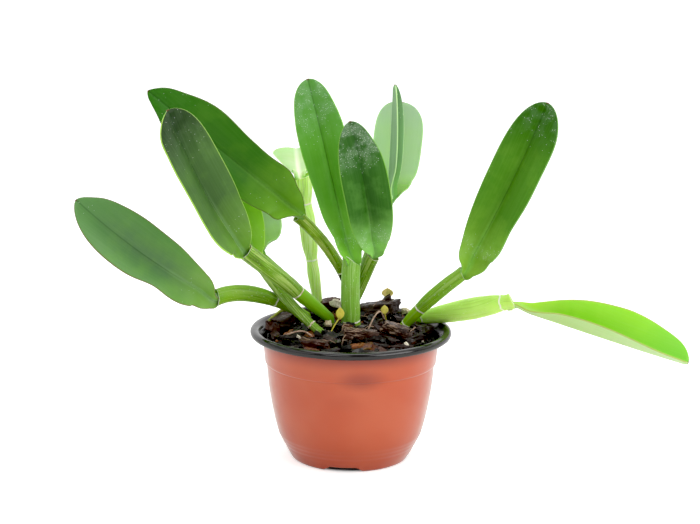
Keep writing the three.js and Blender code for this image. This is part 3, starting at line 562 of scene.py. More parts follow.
def stemMaterial(name, look):
    # Living orchid stem under a thin dry sheath: satin, with fine raised lines along it, pale dashes where
    # the sheath has split, a torn papery edge at each joint and the bare, smoother stem below it.
    material, tree = newMaterial("pseudobulbSkin_" + name)
    spot = add(tree, "ShaderNodeAttribute", attribute_name="skinPlace").outputs["Vector"]
    place3 = add(tree, "ShaderNodeSeparateXYZ", {0: spot})
    share = add(tree, "ShaderNodeAttribute", attribute_name="skinShare").outputs["Vector"]
    share = add(tree, "ShaderNodeSeparateXYZ", {0: share})
    bare = share.outputs["Z"]
    sheath = add(tree, "ShaderNodeMath", {0: 1.0, 1: bare}, operation="SUBTRACT")
    object3 = add(tree, "ShaderNodeTexCoord").outputs["Object"]
    cloud = add(tree, "ShaderNodeTexNoise", {"Vector": object3, "Scale": 1 / (9 * mm), "Detail": 3.0})
    cloudy = add(tree, "ShaderNodeMapRange", {0: cloud, 1: 0.4, 2: 0.7, 4: 0.3}, **smooth)
    # fine lines a millimetre apart and some centimetres long
    stretched = add(tree, "ShaderNodeVectorMath", {0: spot, 1: (1.25, 0.03, 0)}, **times)
    lines = add(tree, "ShaderNodeTexNoise", {"Vector": stretched, "Scale": 1.0, "Detail": 2.0})
    pale = add(tree, "ShaderNodeMapRange", {0: lines, 1: 0.5, 2: 0.62, 4: 0.75 * look["lines"]}, **smooth)
    pale = add(tree, "ShaderNodeMath", {0: pale, 1: sheath}, **times)
    dark = add(tree, "ShaderNodeMapRange", {0: lines, 1: 0.34, 2: 0.46, 3: 0.7 * look["lines"], 4: 0.0},
        **smooth)
    dark = add(tree, "ShaderNodeMath", {0: dark, 1: sheath}, **times)
    torn = add(tree, "ShaderNodeVectorMath", {0: spot, 1: (2.2, 0.35, 0)}, **times)
    torn = add(tree, "ShaderNodeTexNoise", {"Vector": torn, "Scale": 1.2, "Detail": 3.0})
    dashes = add(tree, "ShaderNodeMapRange", {0: torn, 1: 0.66, 2: 0.71, 4: 0.8}, **smooth)
    dashes = add(tree, "ShaderNodeMath", {0: dashes, 1: sheath}, **times)
    seam = add(tree, "ShaderNodeMath", {0: place3.outputs["Z"], 1: look["seam"]}, **times)
    ring = add(tree, "ShaderNodeMapRange", {0: share.outputs["X"], 1: 0.25, 2: 0.7}, **smooth)
    tan = add(tree, "ShaderNodeTexNoise", {"Vector": object3, "Scale": 1 / (3 * mm), "Detail": 2.0})
    tanned = add(tree, "ShaderNodeMapRange", {0: tan, 1: 0.42, 2: 0.6}, **smooth)
    paper = add(tree, "ShaderNodeMix", {0: tanned, 6: linear("#F1F2E2"), 7: linear(look["torn"])}, **colours)
    colour = linear(look["upper"])
    for part, layer in ((bare, look["lower"]), (cloudy, look["lower"]), (pale, look["line"]),
            (dark, "#4A5F1E"), (dashes, "#F0F5E0"), (seam, "#EEF3DA")):
        colour = add(tree, "ShaderNodeMix", {0: part, 6: colour, 7: linear(layer)}, **colours)
    colour = add(tree, "ShaderNodeMix", {0: ring, 6: colour, 7: paper}, **colours)
    height = add(tree, "ShaderNodeMath", {0: lines, 1: sheath}, **times)
    height = add(tree, "ShaderNodeMath", {0: dashes, 1: 0.3, 2: height}, operation="MULTIPLY_ADD")
    bump = add(tree, "ShaderNodeBump", {"Height": height, "Strength": 0.7, "Distance": 0.25 * mm})
    shader = add(tree, "ShaderNodeBsdfPrincipled", {
        "Base Color": colour, "Roughness": 0.36, "IOR": 1.45, "Specular IOR Level": 0.35, "Normal": bump,
        "Subsurface Weight": look["glow"], "Subsurface Radius": (0.6, 1.0, 0.2),
        "Subsurface Scale": 2.5 * mm})
    add(tree, "ShaderNodeOutputMaterial", {"Surface": shader})
    return material


# Leaf colours: along the midrib, further out, at the base, at the tip, below and on the margin. dust is how
# much white dust lies there and dustFrom how far from the tip; glow is how much light comes through and
# shine how much the wax reflects.
leafLooks = {
    # greyA and greyB: their grey tint is partly the leaves' own colour and partly painted sheen of the white
    # room on the wax
    "greyA": {"middle": "#5A8250", "outer": "#66984E", "base": "#80AE4A", "tip": "#5D8E4C",
        "under": "#93BC80",
              "margin": "#7C6A3C", "dust": 0.1, "dustFrom": 0.8, "glow": 0.1, "shine": 0.3,
              "slot": "old_leaf"},
    # greyB's bright yellow-green margin is partly its own colour and partly painted rim light
    "greyB": {"middle": "#40602E", "outer": "#4A6C36", "base": "#6C9A36", "tip": "#142A0C",
        "under": "#8DB57A",
              "margin": "#B4E060", "dust": 0.12, "dustFrom": 0.6, "glow": 0.1, "shine": 0.18,
              "slot": "old_leaf"},
    "inner": {"middle": "#6BAC23", "outer": "#8BCA38", "base": "#92CC3E", "tip": "#5CA02A",
        "under": "#9CCB74",
              "margin": "#B4E460", "dust": 0.05, "dustFrom": 0.6, "glow": 0.2, "shine": 0.2, "slot": "leaf"},
    "pale": {"middle": "#8FB876", "outer": "#98BE88", "base": "#86BA4A", "tip": "#94B48C", "under": "#AFD49C",
             "margin": "#B6DB9C", "dust": 0.0, "dustFrom": 0.6, "glow": 0.4, "shine": 0.3, "grooveShade": 0.08,
             "slot": "pale_leaf"},
    "deep": {"middle": "#396E1E", "outer": "#366C1C", "base": "#74A832", "tip": "#33701A", "under": "#7CAE54",
             "margin": "#5C6E30", "dust": 0.05, "dustFrom": 0.6, "glow": 0.1, "shine": 0.12, "slot": "leaf"},
    # lime: its near-white band along the whole midrib is painted glow of light through the young leaf
    "lime": {"middle": "#B4D68C", "outer": "#90C660", "base": "#C4E29E", "tip": "#A4D87C", "under": "#8CCC48",
             "margin": "#CDEBAA", "dust": 0.0, "dustFrom": 0.6, "glow": 0.35, "shine": 0.3, "grooveShade": 0.0,
             "ribSheen": (1.8, 0.95, "#F2F9DA"), "dry": 0.03, "slot": "young_leaf"},
    "bright": {"middle": "#569A24", "outer": "#60A238", "base": "#80C242", "tip": "#5C9646",
        "under": "#8CC66C",
               "margin": "#8CC850", "dust": 0.6, "dustFrom": 0.62, "glow": 0.15, "shine": 0.2,
               "slot": "leaf"},
    # dusty: its pale base colour is partly painted sheen on the blade's lower part
    "dusty": {"middle": "#285C10", "outer": "#386E1C", "base": "#94D468", "tip": "#2C5A1C",
        "under": "#84B566",
              "margin": "#84BC48", "dust": 1.0, "dustFrom": 0.6, "glow": 0.1, "shine": 0.2, "slot": "leaf"},
    "edgeOn": {"middle": "#66965A", "outer": "#78A66A", "base": "#72B44A", "tip": "#54844A",
        "under": "#8FB488",
               "margin": "#C8ECA8", "dust": 0.1, "dustFrom": 0.6, "glow": 0.15, "shine": 0.3,
               "slot": "old_leaf"},
    "deepK": {"middle": "#4A7E1E", "outer": "#4B8122", "base": "#86B43F", "tip": "#245A04",
        "under": "#8CC85C",
              "margin": "#7FAE5C", "dust": 0.4, "dustFrom": 0.72, "glow": 0.1, "shine": 0.12, "slot": "leaf"},
    "limeL": {"middle": "#8CCE22", "outer": "#A0DE3E", "base": "#AEDC40", "tip": "#84D048",
        "under": "#B8DA8C",
              "margin": "#AEB45C", "dust": 0.0, "dustFrom": 0.6, "glow": 0.3, "shine": 0.3, "grooveShade": 0.08,
              "slot": "young_leaf"},
}
leafShape = {"steps": 90, "middle": 2.2, "edge": 1.0, "roundFrom": 0.93, "wave": 0.35, "overlap": 3.0,
    "clasp": 1.6,
             "fill": 0.9}


def leafWidth(s, shape):
    widest, baseFull, baseRound, tipFull, tipRound = shape
    if s < widest:
        return (1 - ((widest - max(s, 0)) / widest) ** baseFull) ** (1 / baseRound)
    return max(1 - ((s - widest) / (1 - widest)) ** tipFull, 0) ** (1 / tipRound)


def eased(s, stations, values):  # a smooth step from each value to the next
    s = min(max(s, stations[0]), stations[-1])
    i = min(int(np.searchsorted(stations, s, "right")) - 1, len(stations) - 2)
    t = (s - stations[i]) / (stations[i + 1] - stations[i])
    return values[i] + (values[i + 1] - values[i]) * t * t * (3 - 2 * t)


def leafSection(s, leaf, sides):
    # Across the blade: a trough round the stem at the base, then a crease at the midrib that flattens
    # outwards
    middle, tip = leaf["fold"]
    spread = leaf.get("spread", 0.1)
    inner = eased(s, [0, 0.03, 0.07, 0.3, 1], [10, 34, 48, middle, tip])
    outer = eased(s, [0, 0.03, 0.07, 0.3, 1], [105, 70, 28, spread * middle, spread * tip])
    fine = np.linspace(0, 1, 41)
    slope = np.radians(inner + (outer - inner) * fine ** 0.8)
    out = np.concatenate([[0], np.cumsum((np.cos(slope[1:]) + np.cos(slope[:-1])) / 2 * np.diff(fine))])
    rise = np.concatenate([[0], np.cumsum((np.sin(slope[1:]) + np.sin(slope[:-1])) / 2 * np.diff(fine))])
    at = np.abs(sides)
    return np.interp(at, fine, out), np.interp(at, fine, rise), np.interp(at, fine, slope)


def makeLeaf(shoot, leaf, name, nodeName, material):
    base, tip = np.array(leaf["base"], float), np.array(leaf["tip"], float)
    chord = tip - base
    length = np.linalg.norm(chord)
    up = np.array(leaf["face"], float)
    up = unit(up - np.dot(up, unit(chord)) * unit(chord))
    lean = up * leaf["bow"] + np.cross(unit(chord), up) * leaf["sway"]
    # the blade leaves the stem in the stem's own direction
    follow = stemWay(shoot, 1) * length - (chord + 4 * lean)
    bend = 0.13
    grip = shoot["radii"][2]
    half = np.array([0, 0.03, 0.07, 0.12, 0.2, 0.32, 0.45, 0.58, 0.7, 0.8, 0.87, 0.92, 0.955, 0.98, 1.0])
    columns = np.concatenate([-half[::-1], half[1:]])
    start = -leafShape["overlap"] / length
    stations = start + (1 - start) * (0.5 - 0.5 * np.cos(math.pi * np.linspace(0, 1, leafShape["steps"])))
    rings, bladePlace, bladeShare = [], [], []
    for s in stations:
        if s < 0:
            centre, heading = base + stemWay(shoot, 1) * length * s, stemWay(shoot, 1)
        else:
            centre = base + chord * s + lean * 4 * s * (1 - s)
            heading = chord + lean * 4 * (1 - 2 * s)
            if s < bend:
                centre = centre + follow * s * (1 - s / bend) ** 2
                heading = heading + follow * (1 - s / bend) * (1 - 3 * s / bend)
            heading = unit(heading)
        normal = unit(up - np.dot(up, heading) * heading)
        side = np.cross(heading, normal)
        opening = math.radians(leaf.get("opening", 0)) * max(1 - max(s, 0) / 0.16, 0) ** 2
        normal = normal * math.cos(opening) + side * math.sin(opening)
        side = np.cross(heading, normal)
        centre = centre - normal * grip * 0.7 * max(1 - max(s, 0) / 0.07, 0) ** 2
        out, rise, slope = leafSection(s, leaf, columns)
        fromEnd = min((s - start) * length / 4, 1)
        least = leaf.get("clasp", leafShape["clasp"]) * grip * math.sqrt(1
            - (1 - fromEnd) ** 2) if s < 0.5 else 0.5
        upper, lower = [], []
        for c, o, r, q in zip(columns, out, rise, slope):
            reach = leaf["width"] / 2 * leafWidth(s, leaf["shape"])
            for which, at, spread, change in leaf.get("margins", ()):  # swellings and waists of one side
                if which * c > 0:
                    reach += change * math.exp(-(((s - at) / spread) ** 2)) * min(1, reach / 6)
            reach = max(reach, least, 0.4)
            point = centre + side * math.copysign(reach * o, c) + normal * reach * r
            tilt = math.copysign(q, c) if c else 0
            facing = normal * math.cos(tilt) - side * math.sin(tilt)
            # a slow wave along the blade, none at the midrib
            wave = leafShape["wave"] * abs(c) * softNoise(point, 26, length) * min(1, reach / 8)
            full = leafShape["middle"] + (leafShape["edge"] - leafShape["middle"]) * abs(c)
            full *= 0.5 + 0.5 * min(max((s - start) / 0.1, 0), 1)
            past = max(abs(c) - leafShape["roundFrom"], 0) / (1 - leafShape["roundFrom"])
            thick = full * math.sqrt(max(1 - past ** 2, 0.02)) * min(1, 0.3 + (1 - s) * length / 3)
            top = point + facing * (wave - (full - thick) / 2)
            lower.insert(0, top - facing * thick)
            # the blade is solid where it leaves the stem, so its trough is shallow there
            upper.append(top + normal * leafShape["fill"] * grip * max(1 - max(s, 0) / 0.09, 0) ** 2 * (1
                - c * c))
        rings.append(upper + lower)
        reach = leaf["width"] / 2 * leafWidth(s, leaf["shape"])
        flat = [(c * max(reach, least), s * length, 0) for c in columns]
        bladePlace += flat + flat[::-1]
        bladeShare += [(c, s, 0) for c in columns] + [(c, s, 1) for c in columns[::-1]]
    points, faces = skin(rings)
    bladePlace += [bladePlace[0], bladePlace[-1]]
    bladeShare += [(0, 0, 0.5), (0, 1, 0.5)]
    piece = meshPiece(name, points, faces, [material],
                      {"bladePlace": np.array(bladePlace), "bladeShare": np.array(bladeShare)})
    place(piece, [nodeName])


def leafMaterial(name, look):
    # Thick orchid leaf under a waxy cuticle: soft gloss, faint lines along the blade, a midrib with painted
    # shade in its groove and a painted sheen beside it near the base, a thin coloured margin and a dry brown
    # point at the tip. Old leaves carry white dust near their ends.
    material, tree = newMaterial("waxyLeaf_" + name)
    spot = add(tree, "ShaderNodeAttribute", attribute_name="bladePlace").outputs["Vector"]
    share = add(tree, "ShaderNodeAttribute", attribute_name="bladeShare").outputs["Vector"]
    share = add(tree, "ShaderNodeSeparateXYZ", {0: share})
    out = add(tree, "ShaderNodeMath", {0: share.outputs["X"]}, operation="ABSOLUTE")
    along = share.outputs["Y"]
    under = add(tree, "ShaderNodeMapRange", {0: share.outputs["Z"], 1: 0.4, 2: 0.6}, **smooth)
    outMm = add(tree, "ShaderNodeMath", {0: add(tree, "ShaderNodeSeparateXYZ", {0: spot})},
        operation="ABSOLUTE")
    object3 = add(tree, "ShaderNodeTexCoord").outputs["Object"]
    cloud = add(tree, "ShaderNodeTexNoise", {"Vector": object3, "Scale": 1 / (14 * mm), "Detail": 5.0,
        "Roughness": 0.6})
    uneven = add(tree, "ShaderNodeMapRange", {0: cloud, 1: 0.3, 2: 0.7, 3: -0.1, 4: 0.12}, **smooth)
    # darker along the midrib than further out: partly the leaf's own colour, partly painted shade of its fold
    outwards = add(tree, "ShaderNodeMapRange", {0: out, 1: 0.05, 2: 0.95, 4: 0.85}, **smooth)
    outwards = add(tree, "ShaderNodeMath", {0: outwards, 1: uneven}, use_clamp=True, **plus)
    nearBase = add(tree, "ShaderNodeMapRange", {0: along, 2: 0.42, 3: 0.9, 4: 0.0}, **smooth)
    nearBase = add(tree, "ShaderNodeMath", {0: nearBase, 1: uneven}, use_clamp=True, **plus)
    nearTip = add(tree, "ShaderNodeMapRange", {0: along, 1: 0.62, 2: 0.95, 4: 0.8}, **smooth)
    # faint lines a millimetre apart that run the blade's length
    stretched = add(tree, "ShaderNodeVectorMath", {0: spot, 1: (0.9, 0.02, 0)}, **times)
    veins = add(tree, "ShaderNodeTexNoise", {"Vector": stretched, "Scale": 1.0, "Detail": 2.0})
    lines = add(tree, "ShaderNodeMapRange", {0: veins, 1: 0.4, 2: 0.75, 4: 0.06}, **smooth)
    # a pale band beside the midrib near the base, painted sheen (along the whole midrib of the young lime
    # leaf, painted glow), and a dark line along the midrib towards the tip, painted shade in its groove
    beside = add(tree, "ShaderNodeMapRange", {0: outMm, 1: 0.3, 2: 2.8, 3: 1, 4: 0}, **smooth)
    sheenTo, sheenShare, sheenColour = look.get("ribSheen", (0.6, 0.55, look["under"]))
    fading = add(tree, "ShaderNodeMapRange", {0: along, 2: sheenTo, 3: sheenShare, 4: 0.0}, **smooth)
    ribSheen = add(tree, "ShaderNodeMath", {0: beside, 1: fading}, **times)
    onRib = add(tree, "ShaderNodeMapRange", {0: outMm, 1: 0.1, 2: 0.8, 3: 1, 4: 0}, **smooth)
    growing = add(tree, "ShaderNodeMapRange", {0: along, 1: 0.1, 2: 0.5, 3: 0.05, 4: look.get("grooveShade",
        0.35)}, **smooth)
    grooveShade = add(tree, "ShaderNodeMath", {0: onRib, 1: growing}, **times)
    edge = add(tree, "ShaderNodeMapRange", {0: out, 1: 0.955, 2: 0.98, 4: 0.8}, **smooth)
    dry = look.get("dry", 0.008)
    atTip = add(tree, "ShaderNodeMapRange", {0: along, 1: 1 - dry, 2: 1 - dry / 4}, **smooth)
    nearRib = add(tree, "ShaderNodeMapRange", {0: outMm, 1: 0.6, 2: 1.4, 3: 1, 4: 0}, **smooth)
    point = add(tree, "ShaderNodeMath", {0: atTip, 1: nearRib}, **times)
    # white dust in patches towards the tip and one near the base; its grains are drawn as coarse as half a
    # millimetre to show
    patches = add(tree, "ShaderNodeTexNoise", {"Vector": object3, "Scale": 1 / (7 * mm), "Detail": 4.0})
    patches = add(tree, "ShaderNodeMapRange", {0: patches, 1: 0.38, 2: 0.62}, **smooth)
    ends = add(tree, "ShaderNodeMapRange", {0: along, 1: look["dustFrom"], 2: look["dustFrom"] + 0.25},
        **smooth)
    lowEnd = add(tree, "ShaderNodeMapRange", {0: along, 1: 0.14, 2: 0.26, 3: 0.7, 4: 0.0}, **smooth)
    lowest = add(tree, "ShaderNodeMapRange", {0: along, 1: 0.06, 2: 0.12}, **smooth)
    lowEnd = add(tree, "ShaderNodeMath", {0: lowEnd, 1: lowest}, **times)
    ends = add(tree, "ShaderNodeMath", {0: ends, 1: lowEnd}, operation="MAXIMUM")
    where = add(tree, "ShaderNodeMath", {0: ends, 1: patches}, **times)
    where = add(tree, "ShaderNodeMath", {0: where, 1: look["dust"]}, **times)
    cells = add(tree, "ShaderNodeTexVoronoi", {"Vector": object3, "Scale": 1 / (0.55 * mm)})
    chance = add(tree, "ShaderNodeSeparateColor", {0: cells.outputs["Color"]}).outputs[0]
    likely = add(tree, "ShaderNodeMath", {0: where, 1: 0.45, 2: 0.002 * look["dust"]},
        operation="MULTIPLY_ADD")
    chosen = add(tree, "ShaderNodeMath", {0: chance, 1: likely}, operation="LESS_THAN")
    grain = add(tree, "ShaderNodeMapRange", {0: cells.outputs["Distance"], 1: 0.12, 2: 0.45, 3: 0.9,
        4: 0.0}, **smooth)
    dust = add(tree, "ShaderNodeMath", {0: chosen, 1: grain}, **times)
    haze = add(tree, "ShaderNodeMath", {0: where, 1: 0.22}, **times)
    # below, darker lines and a darker keel show through
    ribs = add(tree, "ShaderNodeMapRange", {0: veins, 1: 0.42, 2: 0.62, 4: 0.16}, **smooth)
    keel = add(tree, "ShaderNodeMapRange", {0: outMm, 1: 0.4, 2: 1.8, 3: 0.3, 4: 0.0}, **smooth)
    ribs = add(tree, "ShaderNodeMath", {0: ribs, 1: keel}, operation="MAXIMUM")
    ribs = add(tree, "ShaderNodeMath", {0: ribs, 1: under}, **times)
    colour = linear(look["middle"])
    for part, layer in ((outwards, look["outer"]), (nearBase, look["base"]), (nearTip, look["tip"]),
            (lines, look["under"]), (ribSheen, sheenColour), (grooveShade, "#1C4410"), (haze, "#A9C0A8"),
            (dust, "#E2EBDD"), (under, look["under"]), (ribs, look["middle"]), (edge, look["margin"]),
            (point, "#6A3A1E")):
        colour = add(tree, "ShaderNodeMix", {0: part, 6: colour, 7: linear(layer)}, **colours)
    height = add(tree, "ShaderNodeMath", {0: veins, 1: 0.12}, **times)
    height = add(tree, "ShaderNodeMath", {0: dust, 1: 0.5, 2: height}, operation="MULTIPLY_ADD")
    bump = add(tree, "ShaderNodeBump", {"Height": height, "Strength": 0.3, "Distance": 0.12 * mm})
    rough = add(tree, "ShaderNodeMapRange", {0: cloud, 1: 0.3, 2: 0.7, 3: 0.3, 4: 0.42}, **smooth)
    shader = add(tree, "ShaderNodeBsdfPrincipled", {
        "Base Color": colour, "Roughness": rough, "IOR": 1.48, "Specular IOR Level": look["shine"],
        "Normal": bump,
        "Subsurface Weight": look["glow"], "Subsurface Radius": (0.5, 1.0, 0.15),
        "Subsurface Scale": 2.0 * mm})
    add(tree, "ShaderNodeOutputMaterial", {"Surface": shader})
    return material


def makeShoots():
    skins = {name: stemMaterial(name, look) for name, look in stemSkins.items()}
    blades = {name: leafMaterial(name, look) for name, look in leafLooks.items()}
    for shoot in shoots:
        makeStem(shoot, skins[shoot["skin"]])
        for i, leaf in enumerate(shoot["leaves"]):
            label = shoot["name"] + (f"_{i + 1}" if len(shoot["leaves"]) > 1 else "")
            makeLeaf(shoot, leaf, "blade_" + label, "leaf_" + label, blades[leaf["look"]])
    print("shoots:", len(shoots))



bark = {"level": 78, "seed": 41, "smallCount": 36, "spread": 52, "length": (9, 19), "width": (5, 9),
        "thickness": (3, 5), "sides": 150, "rings": 56}
# the big chips: middle, size, turn, tilt, tone from black (0) through brown to orange (1), and pale stripes
bigChips = [
    {"at": (5, -17, 85), "size": (27, 11, 9), "turn": -6, "tilt": 4, "tone": 0.6, "stripe": 1.0},
    {"at": (31, -9, 85.5), "size": (25, 11, 8), "turn": -28, "tilt": 10, "tone": 0.55, "stripe": 0.9},
    {"at": (-42, 20, 85), "size": (27, 14, 8), "turn": 38, "tilt": -8, "tone": 0.58, "stripe": 0.0},
    {"at": (-22, -32, 82.5), "size": (20, 10, 6), "turn": -8, "tilt": 3, "tone": 0.62, "stripe": 0.1},
    {"at": (19, 40, 88.5), "size": (30, 16, 10), "turn": -14, "tilt": -8, "tone": 0.5, "stripe": 0.1},
    {"at": (24, 47, 90), "size": (10, 8, 11), "turn": 25, "tilt": -30, "tone": 0.5, "stripe": 0.0},
    {"at": (-17, 46, 89), "size": (22, 12, 9), "turn": 14, "tilt": -14, "tone": 0.66, "stripe": 0.0},
    {"at": (-51, 2, 83.5), "size": (20, 10, 9), "turn": 70, "tilt": 28, "tone": 0.6, "stripe": 0.0},
    {"at": (47, 8, 82), "size": (19, 11, 7), "turn": 50, "tilt": 10, "tone": 0.4, "stripe": 0.0},
    {"at": (3, -37, 81), "size": (14, 8, 6), "turn": 10, "tilt": -6, "tone": 0.9, "stripe": 0.0},
]
# loose chips among them at the front: middle, length, turn and tone
frontChips = [
    ((-38, -12, 81), 16, 12, 0.35), ((-31, -25, 80.5), 13, 64, 0.3), ((-12, -24, 81.5), 15, 150, 0.5),
    ((15, -29, 80.5), 17, 12, 0.38), ((26, -20, 81.5), 15, 118, 0.45), ((39, -15, 81.5), 17, 35, 0.4),
    ((47, -3, 81), 14, 80, 0.3), ((-49, -7, 81), 14, 100, 0.55), ((33, -31, 80), 13, 160, 0.5),
    ((10, -45, 79.5), 15, 170, 0.42), ((-14, -43, 79.5), 16, 20, 0.35), ((-36, -36, 80), 12, 120, 0.45),
    ((24, -42, 79.5), 12, 50, 0.3), ((44, 16, 82), 15, 130, 0.5), ((-47, 10, 83), 15, 20, 0.5),
]


# pale stones and dry bits: middle, size across, and tone from cream (0) to straw (1)
paleLumps = [((-10, 38, 92), 8, 0.1), ((-4, 44, 92), 6, 0.3), ((-15, 3, 86.5), 7, 0.9),
    ((36, 33, 88), 6, 0.7),
             ((41, 24, 86), 5, 1.0), ((30, 44, 89), 4.5, 0.2), ((35, -30, 82), 3, 0.1),
              ((-33, -18, 83), 3, 0.1)]


def randomFrom(start):  # the same repeatable numbers as in the solids
    state = start
    while True:
        state = (state * 1664525 + 1013904223) % 4294967296
        yield state / 4294967296


def barkHeight(x, y):
    radius = math.hypot(x, y)
    mound = 5 * math.exp(-((radius / 34) ** 2))
    back = 8 * math.exp(-(((x - 4) / 32) ** 2) - ((y - 44) / 15) ** 2)
    rough = 1.1 * math.sin(x / 5 + 1) * math.cos(y / 6) + 0.8 * math.sin((x + 1.4 * y) / 4)
    return bark["level"] + mound + back + rough


def makeFilling(material):
    wall = [(r - pot["wall"] - 0.3, z) for r, z in potWall() if 3 < z < bark["level"] - 6]
    wall = [(pot["footDiameter"] / 2 - 1.5, 1.5), *wall[::3]]
    edge = pot["rimDiameter"] / 2 - 8 - pot["wall"] - 0.3
    turn = np.linspace(0, 2 * math.pi, bark["sides"], endpoint=False)
    rings = [[(r * math.cos(a), r * math.sin(a), z) for a in turn] for r, z in wall]
    for share in np.linspace(0.985, 0.02, bark["rings"]):
        loop = []
        for a in turn:
            x, y = edge * share * math.cos(a), edge * share * math.sin(a)
            p = (x, y, 0)
            fine = 1.1 * softNoise(p, 4.2) + 0.6 * softNoise(p, 1.9, 3) + 0.35 * softNoise(p, 0.9, 7)
            loop.append((x, y, barkHeight(x, y) + fine - 0.4))
        rings.append(loop)
    points, faces = skin(rings)
    # the filling's near-black tone is partly dark damp bark and partly painted shade in the deep gaps between
    # chips
    tone = [0.05 + 0.15 * softNoise(p, 5, 9) for p in points]
    filling = meshPiece("bark_filling", points, faces, [material], {"tone": tone,
        "stripe": [0.0] * len(points)})
    return filling


def chipMesh(chip, random, cells):  # a rough slab with the eight uneven corners of the solid
    corners = {}
    for key in ((1, 1, 1), (1, 1, 0), (1, 0, 1), (1, 0, 0), (0, 1, 0), (0, 1, 1), (0, 0, 0), (0, 0, 1)):
        shrink = [0.55 + 0.45 * next(random), 0.6 + 0.4 * next(random), 0.6 + 0.4 * next(random)]
        corners[key] = np.array([(k - 0.5) * s * q for k, s, q in zip(key, chip["size"], shrink)])
    tilt, turn = math.radians(chip["tilt"]), math.radians(chip["turn"])
    index, points, faces, place3 = {}, [], [], []
    seed = chip["at"][0] + 3 * chip["at"][1]

    def vertex(i, j, k):
        if (i, j, k) in index:
            return index[(i, j, k)]
        f = np.array((i, j, k)) / cells
        p = np.zeros(3)
        for key, corner in corners.items():
            weight = np.prod([q if side else 1 - q for side, q in zip(key, f)])
            p += weight * corner
        shrink = 1 - 0.16 * sum((abs(2 * q - 1) ** 4) for q in f[1:]) / 2
        p[1:] *= shrink
        grain = softNoise((p[0] / 5, p[1], p[2]), 1.5, seed) * 0.9 + softNoise(p, 3.4, seed + 5) * 1.0
        ragged = softNoise(p, 1.3, seed + 9) * 0.9 * (abs(2 * f[0] - 1) ** 3)
        p = p * (1 + 0.1 * softNoise(p, 6, seed)) + unit(p + (0, 0, 1e-6)) * grain + (ragged * 2, 0, 0)
        place3.append((p[0], p[1], p[2]))
        x, y, z = p
        x, z = x * math.cos(tilt) + z * math.sin(tilt), -x * math.sin(tilt) + z * math.cos(tilt)
        x, y = x * math.cos(turn) - y * math.sin(turn), x * math.sin(turn) + y * math.cos(turn)
        index[(i, j, k)] = len(points)
        points.append(np.array((x, y, z)) + chip["at"])
        return index[(i, j, k)]

    n = cells
    for axis in range(3):
        b, c = [q for q in range(3) if q != axis]
        for level in (0, n[axis]):
            for u in range(n[b]):
                for v in range(n[c]):
                    quad = []
                    for du, dv in ((0, 0), (1, 0), (1, 1), (0, 1)):
                        key = [0, 0, 0]
                        key[axis], key[b], key[c] = level, u + du, v + dv
                        quad.append(vertex(*key))
                    outwards = (level > 0) == (axis != 1)
                    faces.append(tuple(quad) if outwards else tuple(quad[::-1]))
    return points, faces, place3


def makeChips(material):
    random = randomFrom(bark["seed"])
    chips = [dict(chip) for chip in bigChips]
    lerp = lambda pair, t: pair[0] + (pair[1] - pair[0]) * t
    for i in range(bark["smallCount"]):
        radius = bark["spread"] * math.sqrt((i + 0.5) / bark["smallCount"])
        angle = i * 2.39996 + 0.5 * next(random)
        x, y = radius * math.cos(angle), radius * math.sin(angle)
        size = [lerp(bark[key], next(random)) for key in ("length", "width", "thickness")]
        turn, tilt = 360 * next(random), 40 * next(random) - 20
        chips.append({"at": (x, y, barkHeight(x, y) + 0.4), "size": size, "turn": turn, "tilt": tilt,
                      "tone": 0.1 + 0.45 * (i * 0.618 % 1) ** 1.5, "stripe": 0.0 if i % 7 else 0.5})
    for i, (at, size, turn, tone) in enumerate(frontChips):
        chips.append({"at": at, "size": (size, 0.55 * size, 0.36 * size), "turn": turn,
            "tilt": 14 * math.sin(2.4 * i), "tone": tone, "stripe": 0.0})
    points, faces, tones, stripes, grain = [], [], [], [], []
    limit = pot["rimDiameter"] / 2 - 8 - pot["wall"] - 0.6
    for i, chip in enumerate(chips):
        fine = i < len(bigChips) or i >= len(chips) - len(frontChips)
        own, ownFaces, ownPlace = chipMesh(chip, random, (26, 11, 8) if fine else (13, 6, 4))
        faces += [tuple(i + len(points) for i in face) for face in ownFaces]
        for p in own:  # a chip that reaches the wall ends there
            radius = math.hypot(p[0], p[1])
            if radius > limit:
                p[:2] *= limit / radius
        points += own
        tones += [chip["tone"]] * len(own)
        # at its left end
        stripes += [chip["stripe"] * (0.2 + 0.8 / (1 + math.exp(p[0] / 2))) for p in ownPlace]
        grain += ownPlace
    piece = meshPiece("bark_chips", points, faces, [material],
                      {"tone": tones, "stripe": stripes, "grainPlace": np.array(grain)})
    piece.data.set_sharp_from_angle(angle=math.radians(38))
    return piece


def makeLumps(material):
    random = randomFrom(bark["seed"] + 1)
    points, faces, tones = [], [], []
    for i, (at, size, tone) in enumerate(paleLumps):
        chip = {"at": at, "size": (size, 0.8 * size, 0.7 * size), "turn": 50 * i, "tilt": 20}
        own, ownFaces, _ = chipMesh(chip, random, (10, 8, 7))
        faces += [tuple(i + len(points) for i in face) for face in ownFaces]
        points += own
        tones += [tone] * len(own)
    return meshPiece("pale_lumps", points, faces, [material], {"tone": tones})


